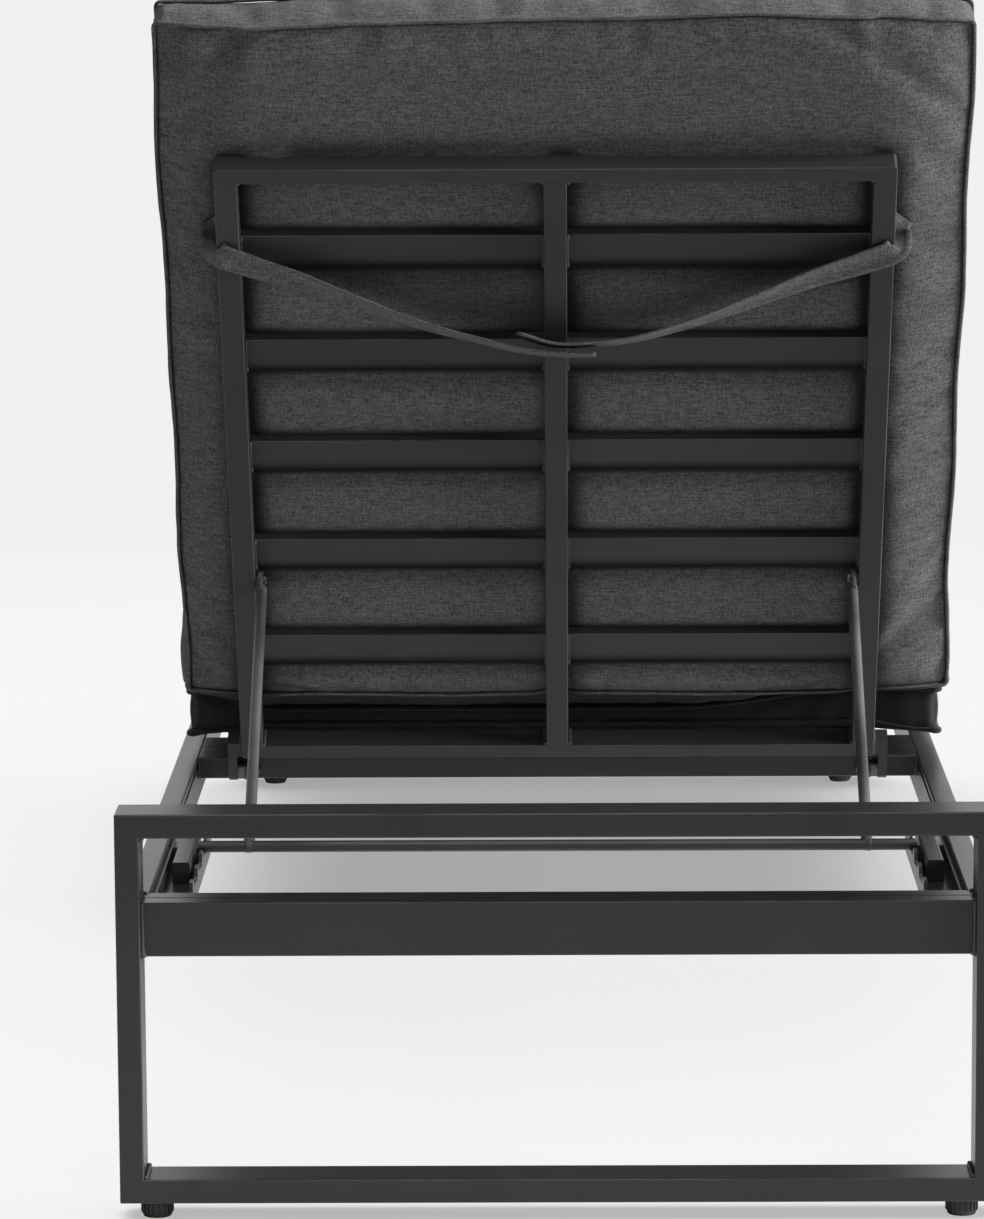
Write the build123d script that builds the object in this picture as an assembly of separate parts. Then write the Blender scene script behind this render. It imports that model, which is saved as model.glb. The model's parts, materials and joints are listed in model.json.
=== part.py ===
"""Reclining sun lounger: welded tube frame, propped slatted backrest, piped cushions.

Millimetres, +Z up. X is across, the head end is at +Y and the foot end at -Y.
S is the distance from the head end, so a place along the length is y = LENGTH / 2 - S.
"""
import os
from math import cos, hypot, radians, sin

from build123d import *

# ---- overall sizes -------------------------------------------------------------------
LENGTH = 1930.0            # over both end loops
WIDTH = 720.0              # over the posts
LOOP_TOP = 340.0           # floor to the top of the end loops
RAIL_TOP = 265.0           # floor to the top of the side rails
GLIDE_HEIGHT = 15.0        # floor to the underside of the bottom bars

# ---- tube sections -------------------------------------------------------------------
FACE = 20.0                # narrow side of the loop tube, seen from the end
LOOP_DEPTH = 45.0          # loop tube along the length
WALL = 1.8
EDGE_R = 1.6               # rounding of the tubes' long edges
LOOP_CORNER_R = 1.6        # ground-off outer corner of the mitred loops
END_RAIL_HEIGHT = 45.0
END_RAIL_SETBACK = 10.0    # end rail behind the loop's outer face
SIDE_RAIL_HEIGHT = 40.0
SIDE_RAIL_INSET = 5.0      # side rail's outer face inside the post's outer face
CROSS_HEIGHT = 20.0        # hinge rail and other cross rails
HINGE_RAIL_DEPTH = 55.0
SEAT_RAIL_DEPTH = 50.0
GROOVE_HEIGHT = 7.5        # cover-strip groove in the side rails' inner faces
GROOVE_DEPTH = 1.1
GROOVE_DROP = 1.2          # below the rail's top

# ---- glides --------------------------------------------------------------------------
GLIDE_R = 13.5
GLIDE_INSET = 29.0         # glide axis from the loop's outer side
GLIDE_BASE_R = 11.5        # bearing face
GLIDE_BEVEL = 3.0          # height of the bevel under the ribs
GLIDE_RIBS = 20
RIB_DEPTH = 0.8
RIB_WIDTH = 1.9
STUD_START = 4.0           # stud's lower end above the floor
STUD_R = 4.0
STUD_HOLE_GAP = 0.3
STUD_LENGTH = 12.0         # above the glide
NUT_AF = 13.0
NUT_HEIGHT = 6.5

# ---- backrest ------------------------------------------------------------------------
BACK_ANGLE = 62.0          # raised, from the horizontal
HINGE_S = 640.0
HINGE_Z = 255.0
BACK_TO_RACK = 11.0        # side bar clear of the rack that it lowers beside
BACK_BAR = 20.0            # side and centre bars across
BACK_DEPTH = 25.0          # frame front to rear
BACK_START = 23.5          # hinge axis to the lower end of the side bars
BACK_END = 666.0           # hinge axis to the upper end
END_BAR = 14.0             # top and bottom bars along the backrest
BACK_EDGE_R = 1.2
BACK_CORNER_R = 3.5        # ground-off corners of the mitred frame
SLAT_WIDTH = 33.0
SLAT_THICK = 12.5
SLAT_FIRST = 124.5         # hinge axis to the first slat
SLAT_PITCH = 108.5
BACK_SLATS = 5

# ---- hinge ---------------------------------------------------------------------------
EAR_THICK = 8.0
EAR_R = 9.0
EAR_STANDOFF = 5.0         # ear's inner face off the side bar
HINGE_PIN_R = 4.0
RUNNING_GAP = 0.05         # radial, turning fits
SHANK_GAP = 0.1            # radial, bolts in drilled tube
SIDE_GAP = 0.3             # along an axis, between pieces that turn
LUG_THICK = 5.0
LUG_TO_EAR = 6.5           # spacer and side gap between them
LUG_R = 9.0
RAIL_TO_HINGE = 11.0       # hinge axis to the hinge rail's face
SINK_DEPTH = 3.5           # countersink in the ear's outer face
SINK_GAP = 0.1             # bolt's head below the ear's face

# ---- prop ----------------------------------------------------------------------------
PIVOT_U = 226.0            # hinge axis to the prop's pivot, along the backrest
PIVOT_BACK = 6.0           # pivot behind the frame's middle plane
ROD_R = 5.0
ROD_S = 274.0
ROD_OVERHANG = 3.0         # rod's end past the toothed wall
ARM_STANDOFF = 6.0         # arm's axis off the side bar
ARM_GAP = 2.5              # flattened eye off the side bar
EYE_R = 8.0
EYE_THICK = 4.5
PIVOT_R = 3.0
PIVOT_HEAD_R = 5.0
PIVOT_HEAD_HEIGHT = 3.0
PIVOT_NUT_R = 4.4          # rivet nut inside the side bar
PIVOT_NUT_LENGTH = 8.0

# ---- racks ---------------------------------------------------------------------------
PLATE = 3.0
RACK_WIDTH = 31.5          # side rail's inner face to the toothed wall's
RACK_BOTTOM = 240.0
RACK_TOP = 262.0
RACK_START = 50.0
RACK_END = 340.0
NOTCH_COUNT = 4
NOTCH_PITCH = 60.0
NOTCH_DEPTH = 9.8          # tooth's top over the seat
NOTCH_FLOOR = 2.6          # ramp's rise over the seat
NOTCH_RAMP = 12.0          # ramp's run
TOOTH_WIDTH = 10.0
TOOTH_OFFSET = 36.0        # seat to the next tooth
ROD_SEAT_GAP = 0.3
PACKER_WIDTH = 15.0
PACKER_START = 185.0
PACKER_END = 330.0

# ---- seat ----------------------------------------------------------------------------
SEAT_FRAME_THICK = 15.0    # seat slats are as thick as their frame
SEAT_SLATS = 10
SEAT_CENTRE_HEIGHT = 12.0
SEAT_MID_SHARE = 0.48      # middle cross rail's place along the seat

# ---- soft goods ----------------------------------------------------------------------
CUSHION_INSET = 10.0       # cushion's side inside the posts' outer faces
CUSHION_THICK = 55.0
CUSHION_R = 8.0            # rounding along its piped edges
CUSHION_CORNER_R = 12.0    # its corners in plan
CUSHION_TO_HINGE = 28.0    # seat cushion's rear end behind the hinge axis
CUSHION_END_GAP = 3.0      # seat cushion to the foot loop
BACK_CUSHION_START = 84.0  # hinge axis to its lower edge
BACK_CUSHION_END = 796.0
STRAP_THICK = 2.2
STRAP_WIDTH = 24.0
STRAP_CLEAR = 0.8          # strap off the bars it passes
STRAP_PLACE = 584.0        # hinge axis to where the straps pass the side bars
STRAP_SAG = 92.0           # drop from there to the middle
STRAP_BELLY = 14.0         # how far the hanging part stands off the frame's rear
STRAP_LAP = 35.0           # each tip past the middle
STRAP_LOWER = 6.0          # under tip below the sag
STRAP_RAISE = 3.0          # upper tip above the sag
# Shares of the way in from the side bar, of the sag and of the belly; then the twist.
STRAP_HANG = ((0.0, 0.109, 0.043, 0), (0.185, 0.304, 0.18, 4), (0.347, 0.511, 0.286, 10),
              (0.501, 0.696, 0.43, 26), (0.633, 0.826, 0.643, 52), (0.754, 0.913, 0.857, 76))

# ---- derived -------------------------------------------------------------------------
HALF_W = WIDTH / 2
POST_IN = HALF_W - FACE
RAIL_OUT = HALF_W - SIDE_RAIL_INSET
RAIL_IN = RAIL_OUT - FACE
BED_BAR_START = END_RAIL_SETBACK + FACE
BED_BAR_END = BED_BAR_START + FACE
HINGE_RAIL_START = HINGE_S + RAIL_TO_HINGE
HINGE_RAIL_END = HINGE_RAIL_START + HINGE_RAIL_DEPTH
SEAT_RAIL_END = HINGE_RAIL_END + SEAT_RAIL_DEPTH
SEAT_FRAME_START = HINGE_RAIL_END
SEAT_FRAME_END = LENGTH - LOOP_DEPTH
SEAT_TOP = RAIL_TOP + SEAT_FRAME_THICK
RACK_WALL_X = RAIL_IN - RACK_WIDTH
ROD_REACH = RACK_WALL_X + PLATE + ROD_OVERHANG
BACK_HALF = RACK_WALL_X - BACK_TO_RACK
BACK_IN = BACK_HALF - BACK_BAR
HALF_D = BACK_DEPTH / 2
ROD_Z = RACK_TOP - NOTCH_DEPTH + ROD_R + ROD_SEAT_GAP
EAR_IN = BACK_HALF + EAR_STANDOFF
EAR_OUT = EAR_IN + EAR_THICK
LUG_OUT = EAR_IN - LUG_TO_EAR
ARM_X = BACK_IN - ARM_STANDOFF
EYE_OUT = BACK_IN - ARM_GAP
EYE_IN = EYE_OUT - EYE_THICK
SEAT_MID_S = HINGE_RAIL_END + SEAT_MID_SHARE * (LENGTH - LOOP_DEPTH - HINGE_RAIL_END) + FACE
SEAT_CUSHION_START = HINGE_S + CUSHION_TO_HINGE
SEAT_SLAT_FIELD = SEAT_FRAME_END - SEAT_FRAME_START - 2 * FACE
FOOT_POINTS = [(sx * (HALF_W - GLIDE_INSET), sy * (LENGTH / 2 - LOOP_DEPTH / 2))
               for sx in (-1, 1) for sy in (-1, 1)]
BACK_PLANE = Plane(origin=(0, LENGTH / 2 - HINGE_S, HINGE_Z), x_dir=(1, 0, 0),
                   z_dir=(0, -sin(radians(BACK_ANGLE)), cos(radians(BACK_ANGLE))))


def y_at(s):
    """Place along the length from a distance to the head end."""
    return LENGTH / 2 - s


def section(a, b, wall, radius):
    """Closed tube section of size a by b; wall None makes it solid."""
    outer = RectangleRounded(a, b, radius)
    if wall is None:
        return outer
    return outer - RectangleRounded(a - 2 * wall, b - 2 * wall, max(radius - wall, 0.4))


def tube(axis, span, a, b, wall=WALL, radius=EDGE_R):
    """Tube along axis over span; a and b are its other two ranges in X, Y, Z order."""
    mid_a, mid_b = sum(a) / 2, sum(b) / 2
    if axis == "X":
        plane = Plane(origin=(span[0], mid_a, mid_b), x_dir=(0, 1, 0), z_dir=(1, 0, 0))
    elif axis == "Y":
        plane = Plane(origin=(mid_a, span[1], mid_b), x_dir=(1, 0, 0), z_dir=(0, -1, 0))
    else:
        plane = Plane(origin=(mid_a, mid_b, span[0]), x_dir=(1, 0, 0), z_dir=(0, 0, 1))
    ring = section(a[1] - a[0], b[1] - b[0], wall, radius)
    return extrude(plane * ring, amount=span[1] - span[0])


def block(x, y, z):
    """Plain box from three ranges."""
    return Pos(sum(x) / 2, sum(y) / 2, sum(z) / 2) * Box(x[1] - x[0], y[1] - y[0], z[1] - z[0])


def prism_x(points, x0, x1):
    """Outline given as (y, z) points, extruded from x0 to x1."""
    plane = Plane(origin=(x0, 0, 0), x_dir=(0, 1, 0), z_dir=(1, 0, 0))
    return extrude(plane * make_face(Polyline(*points, close=True)), amount=x1 - x0)


def prism_y(points, y0, y1):
    """Outline given as (x, z) points, extruded from y0 to y1."""
    plane = Plane(origin=(0, y1, 0), x_dir=(1, 0, 0), z_dir=(0, -1, 0))
    return extrude(plane * make_face(Polyline(*points, close=True)), amount=y1 - y0)


def prism_z(points, z0, z1):
    """Outline given as (x, y) points, extruded from z0 to z1."""
    return extrude(Pos(0, 0, z0) * make_face(Polyline(*points, close=True)), amount=z1 - z0)


def cone_x(x0, x1, y, z, r0, r1):
    """Cone along X, from radius r0 to r1."""
    return Pos((x0 + x1) / 2, y, z) * Rot(0, 90, 0) * Cone(r0, r1, x1 - x0)


def rod_x(x0, x1, y, z, r):
    """Round bar along X."""
    plane = Plane(origin=(x0, y, z), x_dir=(0, 1, 0), z_dir=(1, 0, 0))
    return extrude(plane * Circle(r), amount=x1 - x0)


def hex_x(x0, x1, y, z, across):
    """Hexagon along X, across its flats."""
    plane = Plane(origin=(x0, y, z), x_dir=(0, 1, 0), z_dir=(1, 0, 0))
    return extrude(plane * RegularPolygon(across / 2, 6, major_radius=False), amount=x1 - x0)


def mirrored(part):
    """The same piece on the other side of the lounger."""
    return mirror(part, about=Plane.YZ)


# ---- end loops -----------------------------------------------------------------------
def loop_tubes(y0, y1):
    """Four mitred tubes of one end loop and their shared outline."""
    z0, z1, h, f = GLIDE_HEIGHT, LOOP_TOP, HALF_W, FACE
    rim = Plane(origin=(0, y1, (z0 + z1) / 2), x_dir=(1, 0, 0), z_dir=(0, -1, 0))
    rim = extrude(rim * RectangleRounded(WIDTH, z1 - z0, LOOP_CORNER_R), amount=y1 - y0)
    ends = {
        "post_left": (tube("Z", (z0, z1), (h - f, h), (y0, y1)),
                      [(h, z0), (h, z1), (h - f, z1 - f), (h - f, z0 + f)]),
        "top_bar": (tube("X", (-h, h), (y0, y1), (z1 - f, z1)),
                    [(-h, z1), (h, z1), (h - f, z1 - f), (-h + f, z1 - f)]),
        "bottom_bar": (tube("X", (-h, h), (y0, y1), (z0, z0 + f)),
                       [(-h, z0), (h, z0), (h - f, z0 + f), (-h + f, z0 + f)]),
    }
    made = {name: body & prism_y(cut, y0, y1) & rim for name, (body, cut) in ends.items()}
    made["post_right"] = mirrored(made["post_left"])
    return made


def stud_holes(bar):
    """Bottom bar with the two glide stud holes through its lower wall."""
    for x, y in FOOT_POINTS:
        hole = Pos(x, y, GLIDE_HEIGHT + WALL / 2) * Cylinder(STUD_R + STUD_HOLE_GAP, WALL + 1)
        bar = bar - hole
    return bar


def glide_pad(x, y):
    """Ribbed plastic glide with a chamfered bearing face and a stud bore."""
    core, low = GLIDE_R - RIB_DEPTH, (Align.CENTER, Align.CENTER, Align.MIN)
    body = Pos(0, 0, GLIDE_BEVEL) * Cylinder(core, GLIDE_HEIGHT - GLIDE_BEVEL, align=low)
    foot = Cone(GLIDE_BASE_R, core, GLIDE_BEVEL, align=low)
    rib = Box(2 * RIB_DEPTH, RIB_WIDTH, GLIDE_HEIGHT - 2 * GLIDE_BEVEL + 1)
    rib = Pos(core, 0, (GLIDE_HEIGHT + 2) / 2) * rib
    ribs = [Rot(0, 0, 360 / GLIDE_RIBS * i) * rib for i in range(GLIDE_RIBS)]
    pad = body + foot + ribs
    bore = Pos(0, 0, STUD_START) * Cylinder(STUD_R, GLIDE_HEIGHT, align=low)
    return Pos(x, y, 0) * (pad - bore)


def glide_stud(x, y):
    """Steel stud moulded into the glide and screwed into the bar's nut."""
    stud = Cylinder(STUD_R, GLIDE_HEIGHT - STUD_START + STUD_LENGTH,
                    align=(Align.CENTER, Align.CENTER, Align.MIN))
    return Pos(x, y, STUD_START) * chamfer(stud.edges().group_by(Axis.Z)[-1], 0.8)


def glide_nut(x, y):
    """Hexagon nut welded inside the bottom bar over the stud hole."""
    nut = extrude(RegularPolygon(NUT_AF / 2, 6, major_radius=False), amount=NUT_HEIGHT)
    nut = nut - Cylinder(STUD_R, 4 * NUT_HEIGHT)
    return Pos(x, y, GLIDE_HEIGHT + WALL) * nut


# ---- bed frame -----------------------------------------------------------------------
def end_rail(outer_y, inward):
    """Cross rail welded between the posts of one loop."""
    ys = sorted((outer_y, outer_y + inward * FACE))
    return tube("X", (-POST_IN, POST_IN), ys, (RAIL_TOP - END_RAIL_HEIGHT, RAIL_TOP))


def bed_bar(outer_y, inward):
    """End bar of the bed frame, coped round the side rails behind the posts."""
    ys = sorted((outer_y, outer_y + inward * FACE))
    bar = tube("X", (-POST_IN, POST_IN), ys, (RAIL_TOP - SIDE_RAIL_HEIGHT, RAIL_TOP))
    post_face = LENGTH / 2 - LOOP_DEPTH
    cope_y = sorted((-inward * post_face, -inward * (post_face - FACE)))
    for side in (-1, 1):
        xs = sorted((side * RAIL_IN, side * (POST_IN + 1)))
        bar = bar - block(xs, cope_y, (0, LOOP_TOP))
    return bar


def side_rail():
    """Side rail with its end copes and inner groove, on the +X side."""
    end = LENGTH / 2 - LOOP_DEPTH
    rail = tube("Y", (-end, end), (RAIL_IN, RAIL_OUT), (RAIL_TOP - SIDE_RAIL_HEIGHT, RAIL_TOP))
    top = RAIL_TOP - GROOVE_DROP
    groove = block((RAIL_IN - 1, RAIL_IN + GROOVE_DEPTH),
                   (y_at(HINGE_RAIL_START - 2), y_at(RACK_END + 2)), (top - GROOVE_HEIGHT, top))
    return rail - groove


def cross_rail(s0, s1):
    """Flat cross rail between the side rails."""
    return tube("X", (-RAIL_IN, RAIL_IN), (y_at(s1), y_at(s0)), (RAIL_TOP - CROSS_HEIGHT, RAIL_TOP))


# ---- seat ----------------------------------------------------------------------------
def seat_bar(s0, s1, x0, x1):
    """Seat frame bar lying on the cross rails."""
    axis = "X" if x1 - x0 > s1 - s0 else "Y"
    ys, zs = (y_at(s1), y_at(s0)), (RAIL_TOP, SEAT_TOP)
    return tube(axis, (x0, x1), ys, zs) if axis == "X" else tube(axis, ys, (x0, x1), zs)


def seat_slats():
    """Evenly spaced slats between the seat frame's side bars."""
    gap = (SEAT_SLAT_FIELD - SEAT_SLATS * SLAT_WIDTH) / (SEAT_SLATS + 1)
    first = SEAT_FRAME_START + FACE + gap
    starts = [first + i * (SLAT_WIDTH + gap) for i in range(SEAT_SLATS)]
    return [tube("X", (-BACK_IN, BACK_IN), (y_at(s + SLAT_WIDTH), y_at(s)),
                 (RAIL_TOP, SEAT_TOP)) for s in starts]


def seat_centre_bar():
    """Bar under the slats, between the seat rail and the foot bar."""
    return tube("Y", (y_at(LENGTH - BED_BAR_END), y_at(SEAT_RAIL_END)), (-BACK_BAR / 2, BACK_BAR / 2),
                (RAIL_TOP - SEAT_CENTRE_HEIGHT, RAIL_TOP))


def middle_cross_rail():
    """Cross rail under the centre bar, half way along the seat."""
    return tube("X", (-RAIL_IN, RAIL_IN), (y_at(SEAT_MID_S + FACE), y_at(SEAT_MID_S - FACE)),
                (RAIL_TOP - SIDE_RAIL_HEIGHT, RAIL_TOP - SEAT_CENTRE_HEIGHT))


# ---- racks ---------------------------------------------------------------------------
def rack_outline():
    """Toothed wall's outline as (y, z) points."""
    seat_z = ROD_Z - ROD_R - ROD_SEAT_GAP
    flat_z = seat_z + NOTCH_FLOOR
    points = [(y_at(RACK_END), RACK_BOTTOM), (y_at(RACK_END), RACK_TOP)]
    for i in range(NOTCH_COUNT):
        seat = ROD_S - i * NOTCH_PITCH
        points += [(y_at(seat + ROD_R + 2.5), RACK_TOP), (y_at(seat + ROD_R + 1.0), flat_z),
                   (y_at(seat + 3.0), seat_z), (y_at(seat - 1.0), seat_z),
                   (y_at(seat - NOTCH_RAMP), flat_z)]
        tooth = seat - TOOTH_OFFSET
        if tooth - TOOTH_WIDTH > RACK_START + 2:
            points += [(y_at(tooth), flat_z), (y_at(tooth - 1.5), RACK_TOP)]
    points += [(y_at(RACK_START + 8), flat_z), (y_at(RACK_START), flat_z), (y_at(RACK_START), RACK_BOTTOM)]
    return points


def rack():
    """Bent plate channel with the toothed inner wall, on the +X side."""
    wall = prism_x(rack_outline(), RACK_WALL_X, RACK_WALL_X + PLATE)
    ys = (y_at(RACK_END), y_at(RACK_START))
    floor = block((RACK_WALL_X, RAIL_IN), ys, (RACK_BOTTOM, RACK_BOTTOM + PLATE))
    flange = block((RAIL_IN - PLATE, RAIL_IN), ys, (RACK_BOTTOM, RACK_TOP - 4))
    return wall + floor + flange


def rack_packer():
    """Bar welded in the channel behind the upper notch."""
    x0 = (RACK_WALL_X + PLATE + RAIL_IN - PLATE) / 2 - PACKER_WIDTH / 2
    return tube("Y", (y_at(PACKER_END), y_at(PACKER_START)), (x0, x0 + PACKER_WIDTH),
                (RACK_BOTTOM + PLATE, RACK_TOP), wall=None)


# ---- hinge ---------------------------------------------------------------------------
def hinge_lug():
    """Fixed lug welded to the hinge rail's face, on the +X side."""
    y0, z0 = y_at(HINGE_S), HINGE_Z
    x1, x0 = LUG_OUT, LUG_OUT - LUG_THICK
    lug = rod_x(x0, x1, y0, z0, LUG_R)
    lug = lug + block((x0, x1), (y_at(HINGE_RAIL_START), y0), (z0 - LUG_R, z0 + LUG_R))
    return lug - rod_x(x0 - 1, x1 + 1, y0, z0, HINGE_PIN_R)


def hinge_bolt():
    """Countersunk hinge bolt, flush with the ear's outer face, on the +X side."""
    y0, z0 = y_at(HINGE_S), HINGE_Z
    face = EAR_OUT - SINK_GAP
    sink = face - SINK_DEPTH + SINK_GAP
    shank = rod_x(LUG_OUT - LUG_THICK - NUT_HEIGHT - 2, face, y0, z0, HINGE_PIN_R)
    return shank + cone_x(sink, face, y0, z0, HINGE_PIN_R, HINGE_PIN_R + face - sink)


def hinge_nut():
    """Nut clamping the hinge bolt to the fixed lug."""
    y0, z0 = y_at(HINGE_S), HINGE_Z
    x1 = LUG_OUT - LUG_THICK
    return (hex_x(x1 - NUT_HEIGHT, x1, y0, z0, NUT_AF)
            - rod_x(x1 - NUT_HEIGHT - 1, x1 + 1, y0, z0, HINGE_PIN_R))


def hinge_spacer():
    """Plastic spacer between the fixed lug and the ear."""
    y0, z0 = y_at(HINGE_S), HINGE_Z
    x0, x1 = LUG_OUT, EAR_IN - SIDE_GAP
    return rod_x(x0, x1, y0, z0, LUG_R - 1) - rod_x(x0 - 1, x1 + 1, y0, z0, HINGE_PIN_R)


def hinge_ear():
    """Ear welded outside the side bar's lower end, in the backrest's own plane."""
    plate = rod_x(EAR_IN, EAR_OUT, 0, 0, EAR_R)
    plate = plate + block((EAR_IN, EAR_OUT), (0, BACK_START + END_BAR + 1), (-EAR_R, EAR_R))
    foot = block((BACK_HALF, EAR_IN), (BACK_START, BACK_START + END_BAR + 1), (-EAR_R, EAR_R))
    bore = HINGE_PIN_R + RUNNING_GAP
    sink = cone_x(EAR_OUT - SINK_DEPTH, EAR_OUT + 1, 0, 0, bore, bore + SINK_DEPTH + 1)
    return plate + foot - rod_x(EAR_IN - 1, EAR_OUT + 1, 0, 0, bore) - sink


# ---- backrest, drawn flat: Y along the backrest from the hinge, Z to the front --------
def back_corners():
    """Outline of the whole backrest frame, with its ground-off corners."""
    middle = (BACK_START + BACK_END) / 2
    outline = RectangleRounded(2 * BACK_HALF, BACK_END - BACK_START, BACK_CORNER_R)
    return extrude(Pos(0, middle, -HALF_D) * outline, amount=BACK_DEPTH)


def pivot_hole(bar):
    """Side bar's inner wall drilled for the prop's pivot bolt."""
    return bar - rod_x(BACK_IN - 1, BACK_IN + WALL + 1, PIVOT_U, -PIVOT_BACK, PIVOT_R + SHANK_GAP)


def back_side_bar():
    """Mitred side bar over the whole height of the backrest, on the +X side."""
    bar = tube("Y", (BACK_START, BACK_END), (BACK_IN, BACK_HALF), (-HALF_D, HALF_D), radius=BACK_EDGE_R)
    mitres = prism_z([(BACK_HALF, BACK_START), (BACK_HALF, BACK_END), (BACK_IN, BACK_END - END_BAR),
                      (BACK_IN, BACK_START + END_BAR)], -HALF_D, HALF_D)
    return pivot_hole(bar & mitres & back_corners())


def back_end_bar(outer, inward):
    """Mitred top or bottom bar between the side bars."""
    span, inner = sorted((outer, outer + inward * END_BAR)), outer + inward * END_BAR
    bar = tube("X", (-BACK_HALF, BACK_HALF), span, (-HALF_D, HALF_D), radius=BACK_EDGE_R)
    mitres = prism_z([(-BACK_HALF, outer), (BACK_HALF, outer), (BACK_IN, inner), (-BACK_IN, inner)],
                     -HALF_D, HALF_D)
    return bar & mitres & back_corners()


def back_slat(index):
    """One slat, flush with the frame's front."""
    u0 = SLAT_FIRST + index * SLAT_PITCH
    return tube("X", (-BACK_IN, BACK_IN), (u0, u0 + SLAT_WIDTH), (HALF_D - SLAT_THICK, HALF_D),
                radius=BACK_EDGE_R)


def back_centre_bar():
    """Centre bar behind the slats, between the end bars."""
    return tube("Y", (BACK_START + END_BAR, BACK_END - END_BAR), (-BACK_BAR / 2, BACK_BAR / 2),
                (-HALF_D, HALF_D - SLAT_THICK), radius=BACK_EDGE_R)


def pivot_bolt():
    """Prop pivot bolt with its low round head inside the eye, on the +X side."""
    face = EYE_IN - SIDE_GAP
    shank = rod_x(face, BACK_IN + WALL + PIVOT_NUT_LENGTH, PIVOT_U, -PIVOT_BACK, PIVOT_R)
    head = rod_x(face - PIVOT_HEAD_HEIGHT, face, PIVOT_U, -PIVOT_BACK, PIVOT_HEAD_R)
    inner_rim = head.edges().filter_by(GeomType.CIRCLE).group_by(Axis.X)[0]
    return shank + fillet(inner_rim, PIVOT_HEAD_HEIGHT / 2)


def pivot_nut():
    """Rivet nut inside the side bar's inner wall."""
    x0 = BACK_IN + WALL
    return (rod_x(x0, x0 + PIVOT_NUT_LENGTH, PIVOT_U, -PIVOT_BACK, PIVOT_NUT_R)
            - rod_x(x0 - 1, x0 + PIVOT_NUT_LENGTH + 1, PIVOT_U, -PIVOT_BACK, PIVOT_R))


def pivot_spacer():
    """Washer between the side bar and the arm's eye."""
    x0, x1 = EYE_OUT + SIDE_GAP, BACK_IN
    return (rod_x(x0, x1, PIVOT_U, -PIVOT_BACK, PIVOT_R + 2.6)
            - rod_x(x0 - 1, x1 + 1, PIVOT_U, -PIVOT_BACK, PIVOT_R))


def cushion(y0, y1, z0):
    """Plain boxed cushion with rounded edges."""
    half = HALF_W - CUSHION_INSET
    body = block((-half, half), (y0, y1), (z0, z0 + CUSHION_THICK))
    body = fillet(body.edges().filter_by(Axis.Z), CUSHION_CORNER_R)
    rims = body.faces().filter_by(Axis.Z)
    return fillet([edge for rim in rims for edge in rim.edges()], CUSHION_R)


def strap(stations):
    """Flat band lofted through (x, u, n, twist) stations; twist 90 stands it on edge."""
    wires, last = [], None
    for i, (x, u, n, twist) in enumerate(stations):
        before, after = stations[max(i - 1, 0)], stations[min(i + 1, len(stations) - 1)]
        along = Vector(*[after[k] - before[k] for k in range(3)]).normalized()
        flat = Vector(0, 0, 1).cross(along)
        flat = flat.normalized() if flat.length > 0.2 else last or Vector(0, 1, 0)
        if last and flat.dot(last) < 0:
            flat = flat * -1
        last = flat
        normal = along.cross(flat).normalized()
        t = radians(twist)
        wide = (flat * cos(t) - normal * sin(t)) * (STRAP_WIDTH / 2)
        thick = (normal * cos(t) + flat * sin(t)) * (STRAP_THICK / 2)
        at = Vector(x, u, n)
        wires.append(Wire.make_polygon([at + wide + thick, at - wide + thick,
                                        at - wide - thick, at + wide - thick], close=True))
    return Solid.make_loft(wires, ruled=True)


def strap_stations(side, lift):
    """Strap from the cushion round one side bar to its tip past the middle."""
    t, top = STRAP_THICK, STRAP_PLACE
    rear = -HALF_D - STRAP_CLEAR - t / 2
    out = BACK_HALF + STRAP_CLEAR + t / 2
    path = [(out + 2.3 * t, top + 1.8 * t, HALF_D - 0.7 * t, 0), (out + 0.7 * t, top + 0.9 * t, HALF_D / 2, 0),
            (out + 0.2 * t, top, 0.9 * t - HALF_D, 0), (out - 0.2 * t, top - 0.1 * t, rear + 0.45 * t, 0),
            (out - 1.1 * t, top - 0.45 * t, rear, 0)]
    for way, sag, belly, twist in STRAP_HANG:
        path.append((BACK_IN * (1 - way), top - STRAP_SAG * sag, rear - STRAP_BELLY * belly, twist))
    low, behind = top - STRAP_SAG, rear - STRAP_BELLY
    path += [(0.86 * STRAP_LAP, low + 0.9 * t + 0.6 * lift, behind, 84), (0, low + lift, behind, 86),
             (-STRAP_LAP, low + 1.1 * lift, behind, 86)]
    return [(side * x, u, n, side * twist) for x, u, n, twist in path]


# ---- prop, in the rest pose -----------------------------------------------------------
def pivot_point():
    """Prop pivot in the lounger's frame, as (y, z)."""
    at = BACK_PLANE.from_local_coords((0, PIVOT_U, -PIVOT_BACK))
    return at.Y, at.Z


def prop_arm():
    """Round arm with a flattened eye, down to the cross rod, on the +X side."""
    y0, z0 = pivot_point()
    y1, z1 = y_at(ROD_S), ROD_Z
    length, beside = hypot(y1 - y0, z1 - z0), (ARM_X - 2 * ROD_R, ARM_X + 2 * ROD_R)
    along = (0, y1 - y0, z1 - z0)
    arm = Plane(origin=(ARM_X, y0, z0), x_dir=(1, 0, 0), z_dir=along)
    arm = extrude(arm * Circle(ROD_R), amount=length) - rod_x(*beside, y0, z0, EYE_R + ROD_R)
    eye = rod_x(EYE_IN, EYE_OUT, y0, z0, EYE_R)
    neck = Plane(origin=((EYE_IN + EYE_OUT) / 2, y0, z0), x_dir=(1, 0, 0), z_dir=along)
    neck = extrude(neck * RectangleRounded(EYE_THICK, 2 * EYE_R - 3, EYE_THICK / 3), amount=EYE_R + 2 * ROD_R)
    arm = arm + eye + neck - rod_x(*beside, y1, z1, ROD_R)
    return arm - rod_x(*beside, y0, z0, PIVOT_R + RUNNING_GAP)


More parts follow.
